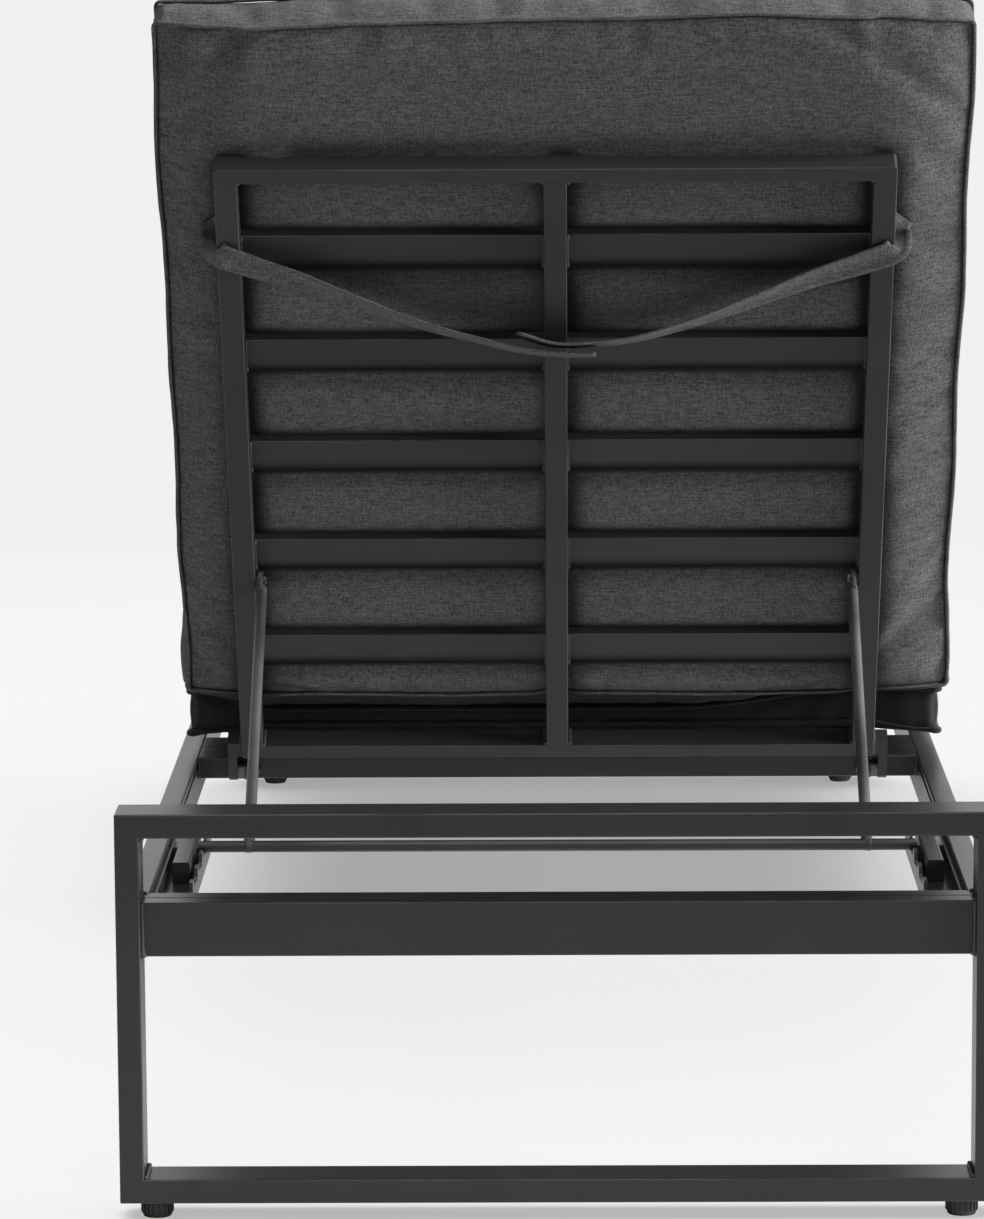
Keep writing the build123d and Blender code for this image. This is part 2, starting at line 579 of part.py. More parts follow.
def prop_rod():
    """Cross rod whose ends sit in the racks."""
    rod = rod_x(-ROD_REACH, ROD_REACH, y_at(ROD_S), ROD_Z, ROD_R)
    return chamfer(rod.edges().filter_by(GeomType.CIRCLE), 1.2)


def on_back(part):
    """Put a piece drawn flat into the raised backrest."""
    return BACK_PLANE.location * part


def both_sides(part):
    """A piece and its mirror image as one group."""
    return Compound(children=[part, mirrored(part)])


def parts():
    """Every piece by node name."""
    made = {}
    for end, y0, y1 in (("head", LENGTH / 2 - LOOP_DEPTH, LENGTH / 2),
                        ("foot", -LENGTH / 2, LOOP_DEPTH - LENGTH / 2)):
        for name, body in loop_tubes(y0, y1).items():
            made[f"{end}_{name}"] = stud_holes(body) if name == "bottom_bar" else body
    head, foot = LENGTH / 2, -LENGTH / 2
    made["head_end_rail"] = end_rail(head - END_RAIL_SETBACK, -1)
    made["foot_end_rail"] = end_rail(foot + END_RAIL_SETBACK, 1)
    made["head_bed_bar"] = bed_bar(head - BED_BAR_START, -1)
    made["foot_bed_bar"] = bed_bar(foot + BED_BAR_START, 1)
    made["side_rail_left"] = side_rail()
    made["side_rail_right"] = mirrored(made["side_rail_left"])
    made["hinge_rail"] = cross_rail(HINGE_RAIL_START, HINGE_RAIL_END)
    made["seat_rear_rail"] = cross_rail(HINGE_RAIL_END, SEAT_RAIL_END)
    made["seat_middle_rail"] = middle_cross_rail()
    made["seat_side_bar_left"] = seat_bar(SEAT_FRAME_START, SEAT_FRAME_END, BACK_IN, BACK_HALF)
    made["seat_side_bar_right"] = mirrored(made["seat_side_bar_left"])
    made["seat_rear_bar"] = seat_bar(SEAT_FRAME_START, SEAT_FRAME_START + FACE, -BACK_IN, BACK_IN)
    made["seat_front_bar"] = seat_bar(SEAT_FRAME_END - FACE, SEAT_FRAME_END, -BACK_IN, BACK_IN)
    made["seat_centre_bar"] = seat_centre_bar()
    made["seat_slats"] = Compound(children=seat_slats())
    made["rack_left"] = rack()
    made["rack_right"] = mirrored(made["rack_left"])
    made["rack_packer_left"] = rack_packer()
    made["rack_packer_right"] = mirrored(made["rack_packer_left"])
    made["glide_pads"] = Compound(children=[glide_pad(x, y) for x, y in FOOT_POINTS])
    made["glide_studs"] = Compound(children=[glide_stud(x, y) for x, y in FOOT_POINTS])
    made["glide_nuts"] = Compound(children=[glide_nut(x, y) for x, y in FOOT_POINTS])
    made["hinge_lugs"] = both_sides(hinge_lug())
    made["hinge_bolts"] = both_sides(hinge_bolt())
    made["hinge_nuts"] = both_sides(hinge_nut())
    made["hinge_spacers"] = both_sides(hinge_spacer())
    made["seat_cushion"] = cushion(y_at(SEAT_FRAME_END - CUSHION_END_GAP), y_at(SEAT_CUSHION_START), SEAT_TOP)
    made["back_side_bar_left"] = on_back(back_side_bar())
    made["back_side_bar_right"] = mirrored(made["back_side_bar_left"])
    made["back_bottom_bar"] = on_back(back_end_bar(BACK_START, 1))
    made["back_top_bar"] = on_back(back_end_bar(BACK_END, -1))
    made["back_centre_bar"] = on_back(back_centre_bar())
    for index in range(BACK_SLATS):
        made[f"back_slat_{index + 1}"] = on_back(back_slat(index))
    made["hinge_ear_left"] = on_back(hinge_ear())
    made["hinge_ear_right"] = mirrored(made["hinge_ear_left"])
    made["pivot_bolts"] = both_sides(on_back(pivot_bolt()))
    made["pivot_nuts"] = both_sides(on_back(pivot_nut()))
    made["pivot_spacers"] = both_sides(on_back(pivot_spacer()))
    made["back_cushion"] = on_back(cushion(BACK_CUSHION_START, BACK_CUSHION_END, HALF_D))
    made["strap_left"] = on_back(strap(strap_stations(1, -STRAP_LOWER)))
    made["strap_right"] = on_back(strap(strap_stations(-1, STRAP_RAISE)))
    made["prop_arm_left"] = prop_arm()
    made["prop_arm_right"] = mirrored(made["prop_arm_left"])
    made["prop_rod"] = prop_rod()
    return made


def main():
    """Write one STEP file per piece."""
    os.makedirs("parts", exist_ok=True)
    for name, body in parts().items():
        export_step(body, f"parts/{name}.step")


if __name__ == "__main__":
    main()
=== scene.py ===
import json
import logging
import math
from dataclasses import dataclass, field, replace
from enum import Enum
from typing import Mapping, Sequence, Union

import bpy
import numpy as np
from mathutils import Matrix, Vector, noise


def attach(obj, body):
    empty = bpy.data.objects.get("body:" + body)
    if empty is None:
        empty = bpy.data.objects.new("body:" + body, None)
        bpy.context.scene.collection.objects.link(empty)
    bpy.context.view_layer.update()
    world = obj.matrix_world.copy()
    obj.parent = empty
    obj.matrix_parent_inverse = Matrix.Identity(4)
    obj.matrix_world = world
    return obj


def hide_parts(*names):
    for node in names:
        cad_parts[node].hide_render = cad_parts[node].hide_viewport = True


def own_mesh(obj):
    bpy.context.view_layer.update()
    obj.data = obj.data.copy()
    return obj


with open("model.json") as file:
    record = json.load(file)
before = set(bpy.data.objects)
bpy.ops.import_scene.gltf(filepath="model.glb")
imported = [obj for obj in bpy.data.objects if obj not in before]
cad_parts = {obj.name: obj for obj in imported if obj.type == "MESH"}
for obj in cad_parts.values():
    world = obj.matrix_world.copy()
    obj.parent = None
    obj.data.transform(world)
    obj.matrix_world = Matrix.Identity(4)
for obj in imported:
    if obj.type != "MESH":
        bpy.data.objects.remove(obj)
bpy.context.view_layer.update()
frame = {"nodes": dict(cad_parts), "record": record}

LOG = logging.getLogger("lounger")
MM = 0.001
BACK_ANGLE = math.radians(62.0)
HINGE = Vector((0.0, 0.325, 0.255))
SLATS, SLAT_FIRST, SLAT_PITCH, SLAT_WIDTH = 5, 0.1245, 0.1085, 0.033  # along the backrest from its hinge
CLOTH_FRAMES = 20
NOISE_SEED = 7
Colour = tuple[float, float, float]


class Body(str, Enum):
    """The bodies that the pieces ride on."""

    FRAME = "frame"
    BACKREST = "backrest"
    PROP = "prop"


class Slot(str, Enum):
    """The finishes' slots in the part's record."""

    FRAME_COAT = "frame_coat"
    PROP_COAT = "prop_coat"
    FASTENERS = "fasteners"
    GLIDE = "glide_plastic"
    SPACER = "spacer_plastic"
    CUSHION = "cushion_fabric"
    STRAP = "strap_fabric"


# ---- shader maths ----
class Sock:
    """An output of a node, on which Python's arithmetic adds Math nodes."""

    def __init__(self, nodes: "Nodes", socket: bpy.types.NodeSocket) -> None:
        """Wrap a socket of one of the nodes."""
        self.nodes, self.socket = nodes, socket

    def math(self, operation: str, *others: "Value") -> "Sock":
        """Put the value first, and the others after it, through a Math node."""
        return self.nodes.node("ShaderNodeMath", {"operation": operation}, dict(enumerate((self, *others))))

    def __add__(self, other: "Value") -> "Sock":
        """Sum."""
        return self.math("ADD", other)

    __radd__ = __add__

    def __sub__(self, other: "Value") -> "Sock":
        """Difference."""
        return self.math("SUBTRACT", other)

    def __rsub__(self, other: "Value") -> "Sock":
        """Difference, number first."""
        return self.nodes.node("ShaderNodeMath", {"operation": "SUBTRACT"}, {0: other, 1: self})

    def __mul__(self, other: "Value") -> "Sock":
        """Product."""
        return self.math("MULTIPLY", other)

    __rmul__ = __mul__

    def __truediv__(self, other: "Value") -> "Sock":
        """Quotient."""
        return self.math("DIVIDE", other)

    def between(self, low: float, high: float) -> "Sock":
        """A smooth step of the value, from 0 at low to 1 at high."""
        return self.nodes.node("ShaderNodeMapRange", {"interpolation_type": "SMOOTHSTEP"},
                               {"Value": self, "From Min": low, "From Max": high})


Value = Union[Sock, float, Sequence[float]]


class Nodes:
    """A node tree whose nodes are added one call at a time."""

    def __init__(self, owner: Union[bpy.types.Material, bpy.types.World]) -> None:
        """Take up the tree of a material or a world."""
        owner.use_nodes = True
        self.tree = owner.node_tree

    def node(self, kind: str, settings: Mapping[str, object], inputs: Mapping[object, Value],
             output: Union[int, str] = 0) -> Sock:
        """Add a node.

        Args:
            kind: The node's type.
            settings: Its properties, set first.
            inputs: Values or links by the socket's name or number.
            output: The output to return.

        Returns:
            The node's chosen output.
        """
        made = self.tree.nodes.new(kind)
        for key, value in settings.items():
            setattr(made, key, value)
        for key, value in inputs.items():
            if isinstance(value, Sock):
                self.tree.links.new(value.socket, made.inputs[key])
            else:
                made.inputs[key].default_value = value
        return Sock(self, made.outputs[output])

    def ray(self, kind: str) -> Sock:
        """1 for rays of a kind and 0 for others."""
        return self.node("ShaderNodeLightPath", {}, {}, f"Is {kind} Ray")

    def pick(self, share: Sock, first: Sock, second: Sock, end: str) -> None:
        """Mix two shaders by the second's share, and link them to the node at the tree's end."""
        mixed = self.node("ShaderNodeMixShader", {}, {0: share, 1: first, 2: second})
        self.tree.links.new(mixed.socket, self.tree.nodes[end].inputs["Surface"])


class Shader(Nodes):
    """A material and its nodes."""

    def __init__(self, name: str, constants: Mapping[str, object]) -> None:
        """Start a material with a Principled shader.

        Args:
            name: The material's name.
            constants: Values of the shader's own sockets that are the same all over.
        """
        self.material = bpy.data.materials.new(name)
        super().__init__(self.material)
        self.surface = self.tree.nodes["Principled BSDF"]
        for socket, value in constants.items():
            self.surface.inputs[socket].default_value = value

    def feed(self, **links: Sock) -> None:
        """Link values to the shader's sockets, with _ for each space in their names."""
        for name, value in links.items():
            self.tree.links.new(value.socket, self.surface.inputs[name.replace("_", " ")])

    def place(self) -> Sock:
        """Object coordinates."""
        return self.node("ShaderNodeTexCoord", {}, {}, "Object")

    def facing(self) -> Sock:
        """The way that the surface faces, on the object's own axes."""
        return self.node("ShaderNodeTexCoord", {}, {}, "Normal")

    def noise(self, where: Sock, size: float, detail: float = 2.0) -> Sock:
        """Noise from 0 to 1 in blobs of one size, in metres."""
        scaled = self.node("ShaderNodeVectorMath", {"operation": "MULTIPLY"},
                           {0: where, 1: (1.0 / size,) * 3})
        return self.node("ShaderNodeTexNoise", {}, {"Vector": scaled, "Scale": 1.0, "Detail": detail})

    def streaks(self, across: Sock, down: Sock, layer: float, detail: float) -> Sock:
        """Noise on two coordinates that are stretched already, cut at one layer of its depth."""
        flat = self.node("ShaderNodeCombineXYZ", {}, {"X": across, "Y": down, "Z": layer})
        return self.node("ShaderNodeTexNoise", {}, {"Vector": flat, "Scale": 1.0, "Detail": detail})

    def openness(self, reach: float, samples: int) -> Sock:
        """How open a surface's surroundings are within reach: 0 where it is closed in, to 1."""
        return self.node("ShaderNodeAmbientOcclusion", {"samples": samples}, {"Distance": reach}, "AO")

    def split(self, vector: Sock) -> list[Sock]:
        """The three parts of a vector."""
        return [self.node("ShaderNodeSeparateXYZ", {}, {0: vector}, axis) for axis in range(3)]

    def mix(self, factor: Value, first: Value, second: Value) -> Sock:
        """Mix two colours or links to them, by the second's share."""
        rgba = [value if isinstance(value, Sock) else (*value, 1.0) for value in (first, second)]
        return self.node("ShaderNodeMix", {"data_type": "RGBA"}, {0: factor, 6: rgba[0], 7: rgba[1]}, 2)

    def bump(self, height: Sock, distance: float, strength: float) -> Sock:
        """The normal of a relief, whose height is in units of distance."""
        inputs = {"Height": height, "Distance": distance, "Strength": strength}
        return self.node("ShaderNodeBump", {}, inputs)


def above_slat(up: Sock, margin: float) -> Sock:
    """How far up the backrest a place is from the nearest start below it, a margin under each slat."""
    return ((up - (SLAT_FIRST - margin)) / SLAT_PITCH).math("FRACT") * SLAT_PITCH


# ---- finishes ----
@dataclass(frozen=True)
class PowderCoat:
    """Fine-grained powder coat on metal, a little lighter along worn edges.

    A coat with a lean is for tubes that lean back by its angle, and one for the backrest's slats has
    painted shade: its colour darkens along each slat's lower edge, where deep shade falls.
    """

    name: str
    tone: Colour
    edge: Colour
    roughness: float = 0.22
    gloss: float = 0.34
    grain: float = 0.0007
    wear: float = 0.5
    lean: float = 0.0
    # Painted shade along the slats' lower edges: whether it is painted, its dark colour, the band's height
    # and the margin under each edge.
    paints_slat_shade: bool = False
    dark: Colour = (0.001, 0.001, 0.001)
    roll: float = 0.0135
    rim: float = 0.0005

    def make(self) -> bpy.types.Material:
        """Make the material.

        Returns:
            The material.
        """
        shader = Shader(self.name, {"Specular IOR Level": self.gloss})
        where = shader.place()
        cloud = shader.noise(where, 0.09, detail=4.0)
        speck = shader.noise(where, self.grain, detail=1.0)
        worn = self._edges(shader) * cloud.between(0.3, 0.6) * self.wear
        darker = tuple(0.86 * c for c in self.tone)
        base = shader.mix(cloud.between(0.25, 0.75) * 0.7 + speck * 0.3, darker, self.tone)
        base = shader.mix(worn, base, self.edge)
        rough = self.roughness + cloud * 0.08 + speck * 0.07 - worn * 0.1
        # Painted shade: each slat's lower edge darkens to the dark colour and turns rougher.
        if self.paints_slat_shade:
            shade = self._painted_slat_shade(shader, where)
            base, rough = shader.mix(shade, base, self.dark), rough + shade * 0.5
        height = speck * 0.6 + shader.noise(where, 0.0025) * 0.8
        shader.feed(Base_Color=base, Roughness=rough, Normal=shader.bump(height, 0.00008, 0.5))
        return shader.material

    def _edges(self, shader: Shader) -> Sock:
        """Find the tubes' rounded long edges.

        Args:
            shader: The coat's material.

        Returns:
            1 on the edges and 0 on the flat faces.
        """
        facing = shader.facing()
        if self.lean:
            turn = {"Vector": facing, "Rotation": (-self.lean, 0.0, 0.0)}
            facing = shader.node("ShaderNodeMapping", {"vector_type": "VECTOR"}, turn)
        x, y, z = (axis.math("ABSOLUTE") for axis in shader.split(facing))
        return (1.0 - x.math("MAXIMUM", y).math("MAXIMUM", z)).between(0.015, 0.2)

    def _painted_slat_shade(self, shader: Shader, where: Sock) -> Sock:
        """The painted shade along the lower edge of each slat.

        Args:
            shader: The coat's material.
            where: The place on the metal.

        Returns:
            1 at the slats' lower edges to 0 a roll's width above them.
        """
        _, y, z = shader.split(where)
        up = (y - HINGE.y) * math.cos(self.lean) + (z - HINGE.z) * math.sin(self.lean)
        return 1.0 - above_slat(up, self.rim).between(self.rim, self.roll)


@dataclass(frozen=True)
class ZincPlate:
    """Dulled zinc-plated steel with a soft clouded grain."""

    name: str = "zinc_plate"

    def make(self) -> bpy.types.Material:
        """Make the material.

        Returns:
            The material.
        """
        shader = Shader(self.name, {"Metallic": 1.0})
        where = shader.place()
        cloud = shader.noise(where, 0.004, detail=3.0)
        shader.feed(Base_Color=shader.mix(cloud, (0.07, 0.07, 0.068), (0.17, 0.17, 0.165)),
                    Roughness=0.34 + cloud * 0.2,
                    Normal=shader.bump(shader.noise(where, 0.0006), 0.00003, 0.5))
        return shader.material


@dataclass(frozen=True)
class MouldedPlastic:
    """Black moulded plastic with a fine grain and a dusty rubbed foot."""

    name: str
    tone: Colour

    def make(self) -> bpy.types.Material:
        """Make the material.

        Returns:
            The material.
        """
        shader = Shader(self.name, {})
        where = shader.place()
        cloud = shader.noise(where, 0.012, detail=3.0)
        grain = shader.noise(where, 0.0005)
        lighter = tuple(2.2 * c + 0.006 for c in self.tone)
        shader.feed(Base_Color=shader.mix(cloud.between(0.35, 0.8), self.tone, lighter),
                    Roughness=0.5 + cloud * 0.2, Normal=shader.bump(grain, 0.00005, 0.6))
        return shader.material


# ---- cloth ----
@dataclass(frozen=True)
class MelangeCloth:
    """Plain weave of dark and light melange yarns with slubs along both of them.

    Painted shade darkens it in hollows, on an end that lies against another cushion, which faces the way
    whose sign is given, and in a line just under each slat's lower edge, where that is asked for.
    """

    name: str
    dark: Colour = (0.037, 0.0382, 0.0386)
    light: Colour = (0.178, 0.184, 0.186)
    # Colour of the painted shade.
    painted_shade_tone: Colour = (0.012, 0.0125, 0.0125)
    pitch: float = 0.0009
    # Sign of the way that an end with painted shade faces; 0 for none.
    painted_shade_end: float = 0.0
    # Painted lines of shade under the slats: whether, how tall, and how far across and along they run.
    paints_slat_lines: bool = False
    groove: float = 0.0135
    half: float = 0.2725
    last: float = 0.6

    def make(self) -> bpy.types.Material:
        """Make the material.

        Returns:
            The material.
        """
        sheen = {"Sheen Weight": 0.09, "Sheen Roughness": 0.45}
        shader = Shader(self.name, {"Specular IOR Level": 0.1, **sheen})
        x, along, thick = shader.split(shader.place())
        facing = shader.split(shader.facing())
        side, end, _ = (axis.math("ABSOLUTE").between(0.62, 0.78) for axis in facing)
        across = x + side * (along - x)
        down = along + (thick - along) * side.math("MAXIMUM", end)
        weft = self._yarn(shader, across, down, 0.58)
        warp = self._yarn(shader, down, across, 0.22)
        over, height = self._weave(shader, across, down)
        yarn = over * warp + (1.0 - over) * weft
        cloud = shader.streaks(across * 9.0, down * 70.0, 1.3, 4.0)
        tone = (yarn * (0.7 + cloud * 0.6)).math("MINIMUM", 1.0)
        # Painted shade: darker where ambient occlusion finds the cloth closed in, near and far.
        near, far = (shader.openness(reach, 6) for reach in (0.09, 0.34))
        lit = near.between(0.12, 0.93) * far.between(0.1, 0.64)
        # Painted shade on the end that faces the other cushion.
        if self.painted_shade_end:
            lit = lit * (1.0 - (facing[1] * self.painted_shade_end).between(0.3, 0.7) * 0.8)
        # Painted shade in a line under each slat's lower edge.
        if self.paints_slat_lines:
            lit = lit * (1.0 - self._painted_slat_line(x, along, thick) * 0.8)
        base = shader.mix(tone, self.dark, self.light)
        shader.feed(Base_Color=shader.mix(lit, self.painted_shade_tone, base),
                    Roughness=0.86 + yarn * 0.1,
                    Normal=shader.bump(height + yarn * 0.8, 0.00022, 0.55))
        return shader.material

    def _painted_slat_line(self, x: Sock, along: Sock, thick: Sock) -> Sock:
        """The painted line of shade on the cloth just under each slat's lower edge.

        Args:
            x: The place across the cushion.
            along: The place along it.
            thick: The place through it.

        Returns:
            1 in the line and 0 elsewhere.
        """
        row = above_slat(along, self.groove)
        line = row.between(0.0, 0.0045) * (1.0 - row.between(self.groove, self.groove + 0.002))
        across = 1.0 - x.math("ABSOLUTE").between(self.half - 0.003, self.half)
        inside = across * (1.0 - along.between(self.last - 0.01, self.last))
        return line * inside * (1.0 - thick.between(0.018, 0.024))

    @staticmethod
    def _yarn(shader: Shader, run: Sock, row: Sock, slubs: float) -> Sock:
        """How light one set of yarns is.

        Args:
            shader: The material.
            run: The place along the yarns.
            row: The place across them.
            slubs: The share of long slubs in it; the rest is short flecks.

        Returns:
            0 on dark yarn to 1 on light yarn.
        """
        slub = shader.streaks(run * 70.0, row * 560.0, 3.1, 3.0)
        fleck = shader.streaks(run * 330.0, row * 1150.0, 7.7, 1.0)
        return slub.between(0.38, 0.66) * slubs + fleck.between(0.38, 0.64) * (1.0 - slubs)

    def _weave(self, shader: Shader, across: Sock, down: Sock) -> tuple[Sock, Sock]:
        """Which yarn lies on top, and how high.

        Args:
            shader: The material.
            across: The place along the weft.
            down: The place along the warp.

        Returns:
            1 where the warp is on top, and the height of the yarn.
        """
        cells = [value / self.pitch for value in (across, down)]
        odd = (cells[0].math("FLOOR") + cells[1].math("FLOOR")).math("PINGPONG", 1.0)
        rounds = [(cell * math.pi).math("SINE").math("ABSOLUTE") for cell in cells]
        return odd, odd * rounds[0] + (1.0 - odd) * rounds[1]


# ---- mesh helpers ----
Point = tuple[float, float, float]
Shape = tuple[list[Point], list[tuple[int, ...]]]


def eased(share: np.ndarray) -> np.ndarray:
    """A share held between 0 and 1, with soft starts and stops."""
    share = np.clip(share, 0, 1)
    return share * share * (3 - 2 * share)


@dataclass(frozen=True)
class Swell:
    """A smooth rise of a line or face about one place along it."""

    height: float
    centre: float
    reach: float

    def at(self, place: np.ndarray) -> np.ndarray:
        """The rise at each place."""
        return self.height * np.exp(-((place - self.centre) / self.reach) ** 2)


@dataclass(frozen=True)
class Wave:
    """A gentle waviness of a sewn line."""

    height: float
    length: float
    start: float

    def at(self, place: np.ndarray) -> np.ndarray:
        """The wave at each place."""
        return self.height * np.sin(2 * np.pi * (place / self.length + self.start))


@dataclass(frozen=True)
class Level:
    """A level step of a line between two places, eased over its ends."""

    height: float
    low: float
    high: float
    ease_low: float
    ease_high: float

    def at(self, place: np.ndarray) -> np.ndarray:
        """The step's height at each place."""
        rise, fall = (place - self.low) / self.ease_low, (self.high - place) / self.ease_high
        return self.height * eased(rise) * eased(fall)


Line = tuple[Union[Swell, Wave, Level], ...]


def along_line(line: Line, place: np.ndarray) -> np.ndarray:
    """The sum of a line's swells and waves at each place."""
    return sum((part.at(place) for part in line), np.zeros_like(place))


def leaning_plane() -> Matrix:
    """The backrest's own plane as it leans: x across, y up along it and z through it to its front."""
    return Matrix.Translation(HINGE) @ Matrix.Rotation(BACK_ANGLE, 4, "X")


def make_piece(name: str, shape: Shape, material: bpy.types.Material, stand: Matrix,
               levels: int = 0) -> bpy.types.Object:
    """Make an object of a mesh.

    Args:
        name: The piece's name.
        shape: Its points and faces.
        material: Its finish.
        stand: Its own plane.
        levels: Levels of smooth subdivision.

    Returns:
        The object.
    """
    mesh = bpy.data.meshes.new(name)
    mesh.from_pydata(shape[0], [], shape[1])
    mesh.validate()
    mesh.polygons.foreach_set("use_smooth", [True] * len(mesh.polygons))
    piece = bpy.data.objects.new(name, mesh)
    piece.matrix_world = stand
    bpy.context.scene.collection.objects.link(piece)
    mesh.materials.append(material)
    if levels:
        smooth = piece.modifiers.new("smooth", "SUBSURF")
        smooth.levels = smooth.render_levels = levels
    return piece


def skin(rings: int, sides: int, closed: bool) -> list[tuple[int, ...]]:
    """Join rings of points in quads.

    Args:
        rings: Rings of points.
        sides: Points in each.
        closed: Whether the last ring joins the first; if not, both get a cap.

    Returns:
        The faces.
    """
    faces: list[tuple[int, ...]] = []
    for ring in range(rings if closed else rings - 1):
        here, there = ring * sides, (ring + 1) % rings * sides
        faces += [(here + i, here + j, there + j, there + i)
                  for i, j in ((i, (i + 1) % sides) for i in range(sides))]
    if not closed:
        faces += [tuple(range(sides - 1, -1, -1)), tuple(range((rings - 1) * sides, rings * sides))]
    return faces


def tube(path: np.ndarray, radii: np.ndarray, sides: int = 8, closed: bool = True) -> Shape:
    """A tube round a line.

    Args:
        path: The line's points.
        radii: The tube's radius at each.
        sides: Sides of the tube.
        closed: Whether the line is a ring.

    Returns:
        The tube's points and faces.
    """
    if closed:
        ahead = np.roll(path, -1, 0) - np.roll(path, 1, 0)
    else:
        ahead = np.gradient(path, axis=0)
    ahead /= np.linalg.norm(ahead, axis=1, keepdims=True)
    up = np.array([0.0, 0.0, 1.0])
    points: list[Point] = []
    for place, way, radius in zip(path, ahead, radii):
        up = up - way * up.dot(way)
        if np.linalg.norm(up) < 1e-3:
            up = np.cross(way, [1.0, 0.0, 0.0])
        up /= np.linalg.norm(up)
        beside = np.cross(way, up)
        for turn in range(sides):
            angle = 2 * math.pi * turn / sides
            points.append(tuple(place + radius * (math.cos(angle) * up + math.sin(angle) * beside)))
    return points, skin(len(path), sides, closed)


# ---- cushions ----
@dataclass
class BoxCushion:
    """A boxed cushion with piped seams round both faces, blown up as cloth between them.

    Its own plane has x across the lounger, y along the cushion and z through its thickness.
    """

    name: str
    node: str
    body: Body
    stand: Matrix
    ends: tuple[float, float]
    rest: float
    cloth: bpy.types.Material
    left: Line = ()
    right: Line = ()
    far: Line = ()
    near: Line = ()
    brim: Line = ()
    keel: Line = ()
    toe: Line = ()
    cheek: Line = ()
    fill: float = 0.8
    half_width: float = 0.3475
    drift: float = -0.0072
    side_in: float = 0.0042
    end_in: float = 0.0042
    margin: float = 0.012
    end_margin: float = 0.03
    height: float = 0.0455
    crown: float = 0.0075
    corner: float = 0.004
    pitch: float = 0.0082
    rims: tuple[float, ...] = (0.0, 0.0022, 0.0056, 0.0104, 0.017)
    layers: tuple[float, ...] = (0.0, 0.002, 0.006, 0.0135, 0.0228, 0.032, 0.0395, 0.0435, 0.0455)
    slack: float = 0.0042
    side_belly: float = 0.0022
    end_belly: float = 0.002
    mound: float = 0.16
    brim_run: tuple[float, float] = (0.095, 0.08)
    keel_run: float = 0.05
    toe_run: float = 0.09
    resting: float = 0.27
    sag: float = 0.8
    piping: float = 0.0021
    piece: bpy.types.Object = None
    seams: dict[int, list[int]] = field(default_factory=dict)

    def build(self) -> None:
        """Lay out the cushion's cloth before it is blown up."""
        self._lattice()
        points = self._shaped()
        self.start_shape = points
        shape = ([tuple(p) for p in points], self.faces)
        self.piece = make_piece(self.name, shape, self.cloth, self.stand)
        group = self.piece.vertex_groups.new(name="seam")
        group.add(sorted({v for ring in self.seams.values() for v in ring}), 1.0, "REPLACE")

    def _stations(self, length: float) -> np.ndarray:
        """Space the grid's lines along a side, close together by its ends.

        Args:
            length: The side's length.

        Returns:
            The lines' places.
        """
        rim = self.rims[-1]
        inner = np.linspace(rim, length - rim, max(2, round((length - 2 * rim) / self.pitch)) + 1)[1:-1]
        return np.concatenate([self.rims, inner, length - np.array(self.rims[::-1])])

    def _lattice(self) -> None:
        """Number the points of the box's surface and join them in quads."""
        self.across = self._stations(2 * self.half_width)
        self.along = self._stations(self.ends[1] - self.ends[0])
        self.thick = np.array(self.layers) / self.layers[-1]
        nx, ny, nz = len(self.across) - 1, len(self.along) - 1, len(self.thick) - 1
        quads: list[list[tuple[int, int, int]]] = []
        for i in range(nx):
            for j in range(ny):
                ring = ((i, j), (i + 1, j), (i + 1, j + 1), (i, j + 1))
                quads += [[(*at, nz) for at in ring], [(*at, 0) for at in reversed(ring)]]
        rim = self._rim(nx, ny)
        for here, there in zip(rim, rim[1:] + rim[:1]):
            quads += [[(*here, k), (*there, k), (*there, k + 1), (*here, k + 1)] for k in range(nz)]
        index: dict[tuple[int, int, int], int] = {}
        self.faces = [tuple(index.setdefault(key, len(index)) for key in quad) for quad in quads]
        self.keys = np.array(list(index))
        self.seams = {k: [index[(*at, k)] for at in rim] for k in (0, nz)}

    @staticmethod
    def _rim(nx: int, ny: int) -> list[tuple[int, int]]:
        """Grid points round the box, anticlockwise from above."""
        return ([(i, 0) for i in range(nx)] + [(nx, j) for j in range(ny)]
                + [(i, ny) for i in range(nx, 0, -1)] + [(0, j) for j in range(ny, 0, -1)])

    def _shaped(self) -> np.ndarray:
        """Shape the box, with drawn-in sides, rounded corners and a slight crown.

        Returns:
            The places of all points.
        """
        half, length = self.half_width, self.ends[1] - self.ends[0]
        x = self.across[self.keys[:, 0]] - half
        y = self.along[self.keys[:, 1]]
        share = self.thick[self.keys[:, 2]]
        x, y = self._round_corners(x, y - length / 2, half, length / 2)
        y = y + length / 2
        from_side, from_end = half - np.abs(x), np.minimum(y, length - y)
        low, high = along_line(self.near, x), along_line(self.far, x)
        place = self.ends[0] + low + y / length * (length + high - low)
        middle = self.ends[0] + y
        shift = np.where(x > 0, along_line(self.left, middle), -along_line(self.right, middle))
        x = x + shift * np.abs(x) / half
        belly = 4 * share * (1 - share)
        rim = (from_side < 1e-6) & (belly > 0)
        cheek = self.side_belly + np.where(x > 0, along_line(self.cheek, middle), 0.0)
        x = x + np.where(rim, np.sign(x) * belly * cheek, 0.0)
        tip = (from_end < 1e-6) & (belly > 0)
        place = place + np.where(tip, np.sign(y - length / 2) * belly * self.end_belly, 0.0)
        inward = np.minimum(from_side, from_end)
        by_side, by_end = (np.clip(1 - off / reach, 0, 1) ** 2
                           for off, reach in ((from_side, self.margin), (from_end, self.end_margin)))
        dip = self.side_in * by_side + self.end_in * by_end * (1 - by_side)
        mound = self.crown * (1 - np.clip(1 - inward / self.mound, 0, 1) ** 2.6)
        top = self.height + self.slack + mound * (share > 0.99)
        start, run = self.brim_run
        top = top + along_line(self.brim, x) * eased((y + start - length) / run)
        dip = dip + along_line(self.keel, x) * np.clip(1 - (length - y) / self.keel_run, 0, 1) ** 2
        place = place - along_line(self.toe, x) * share * np.clip(1 - y / self.toe_run, 0, 1) ** 2
        z = self.rest + dip + share * (top - dip)
        return np.stack([x + self.drift, place, z], axis=1)

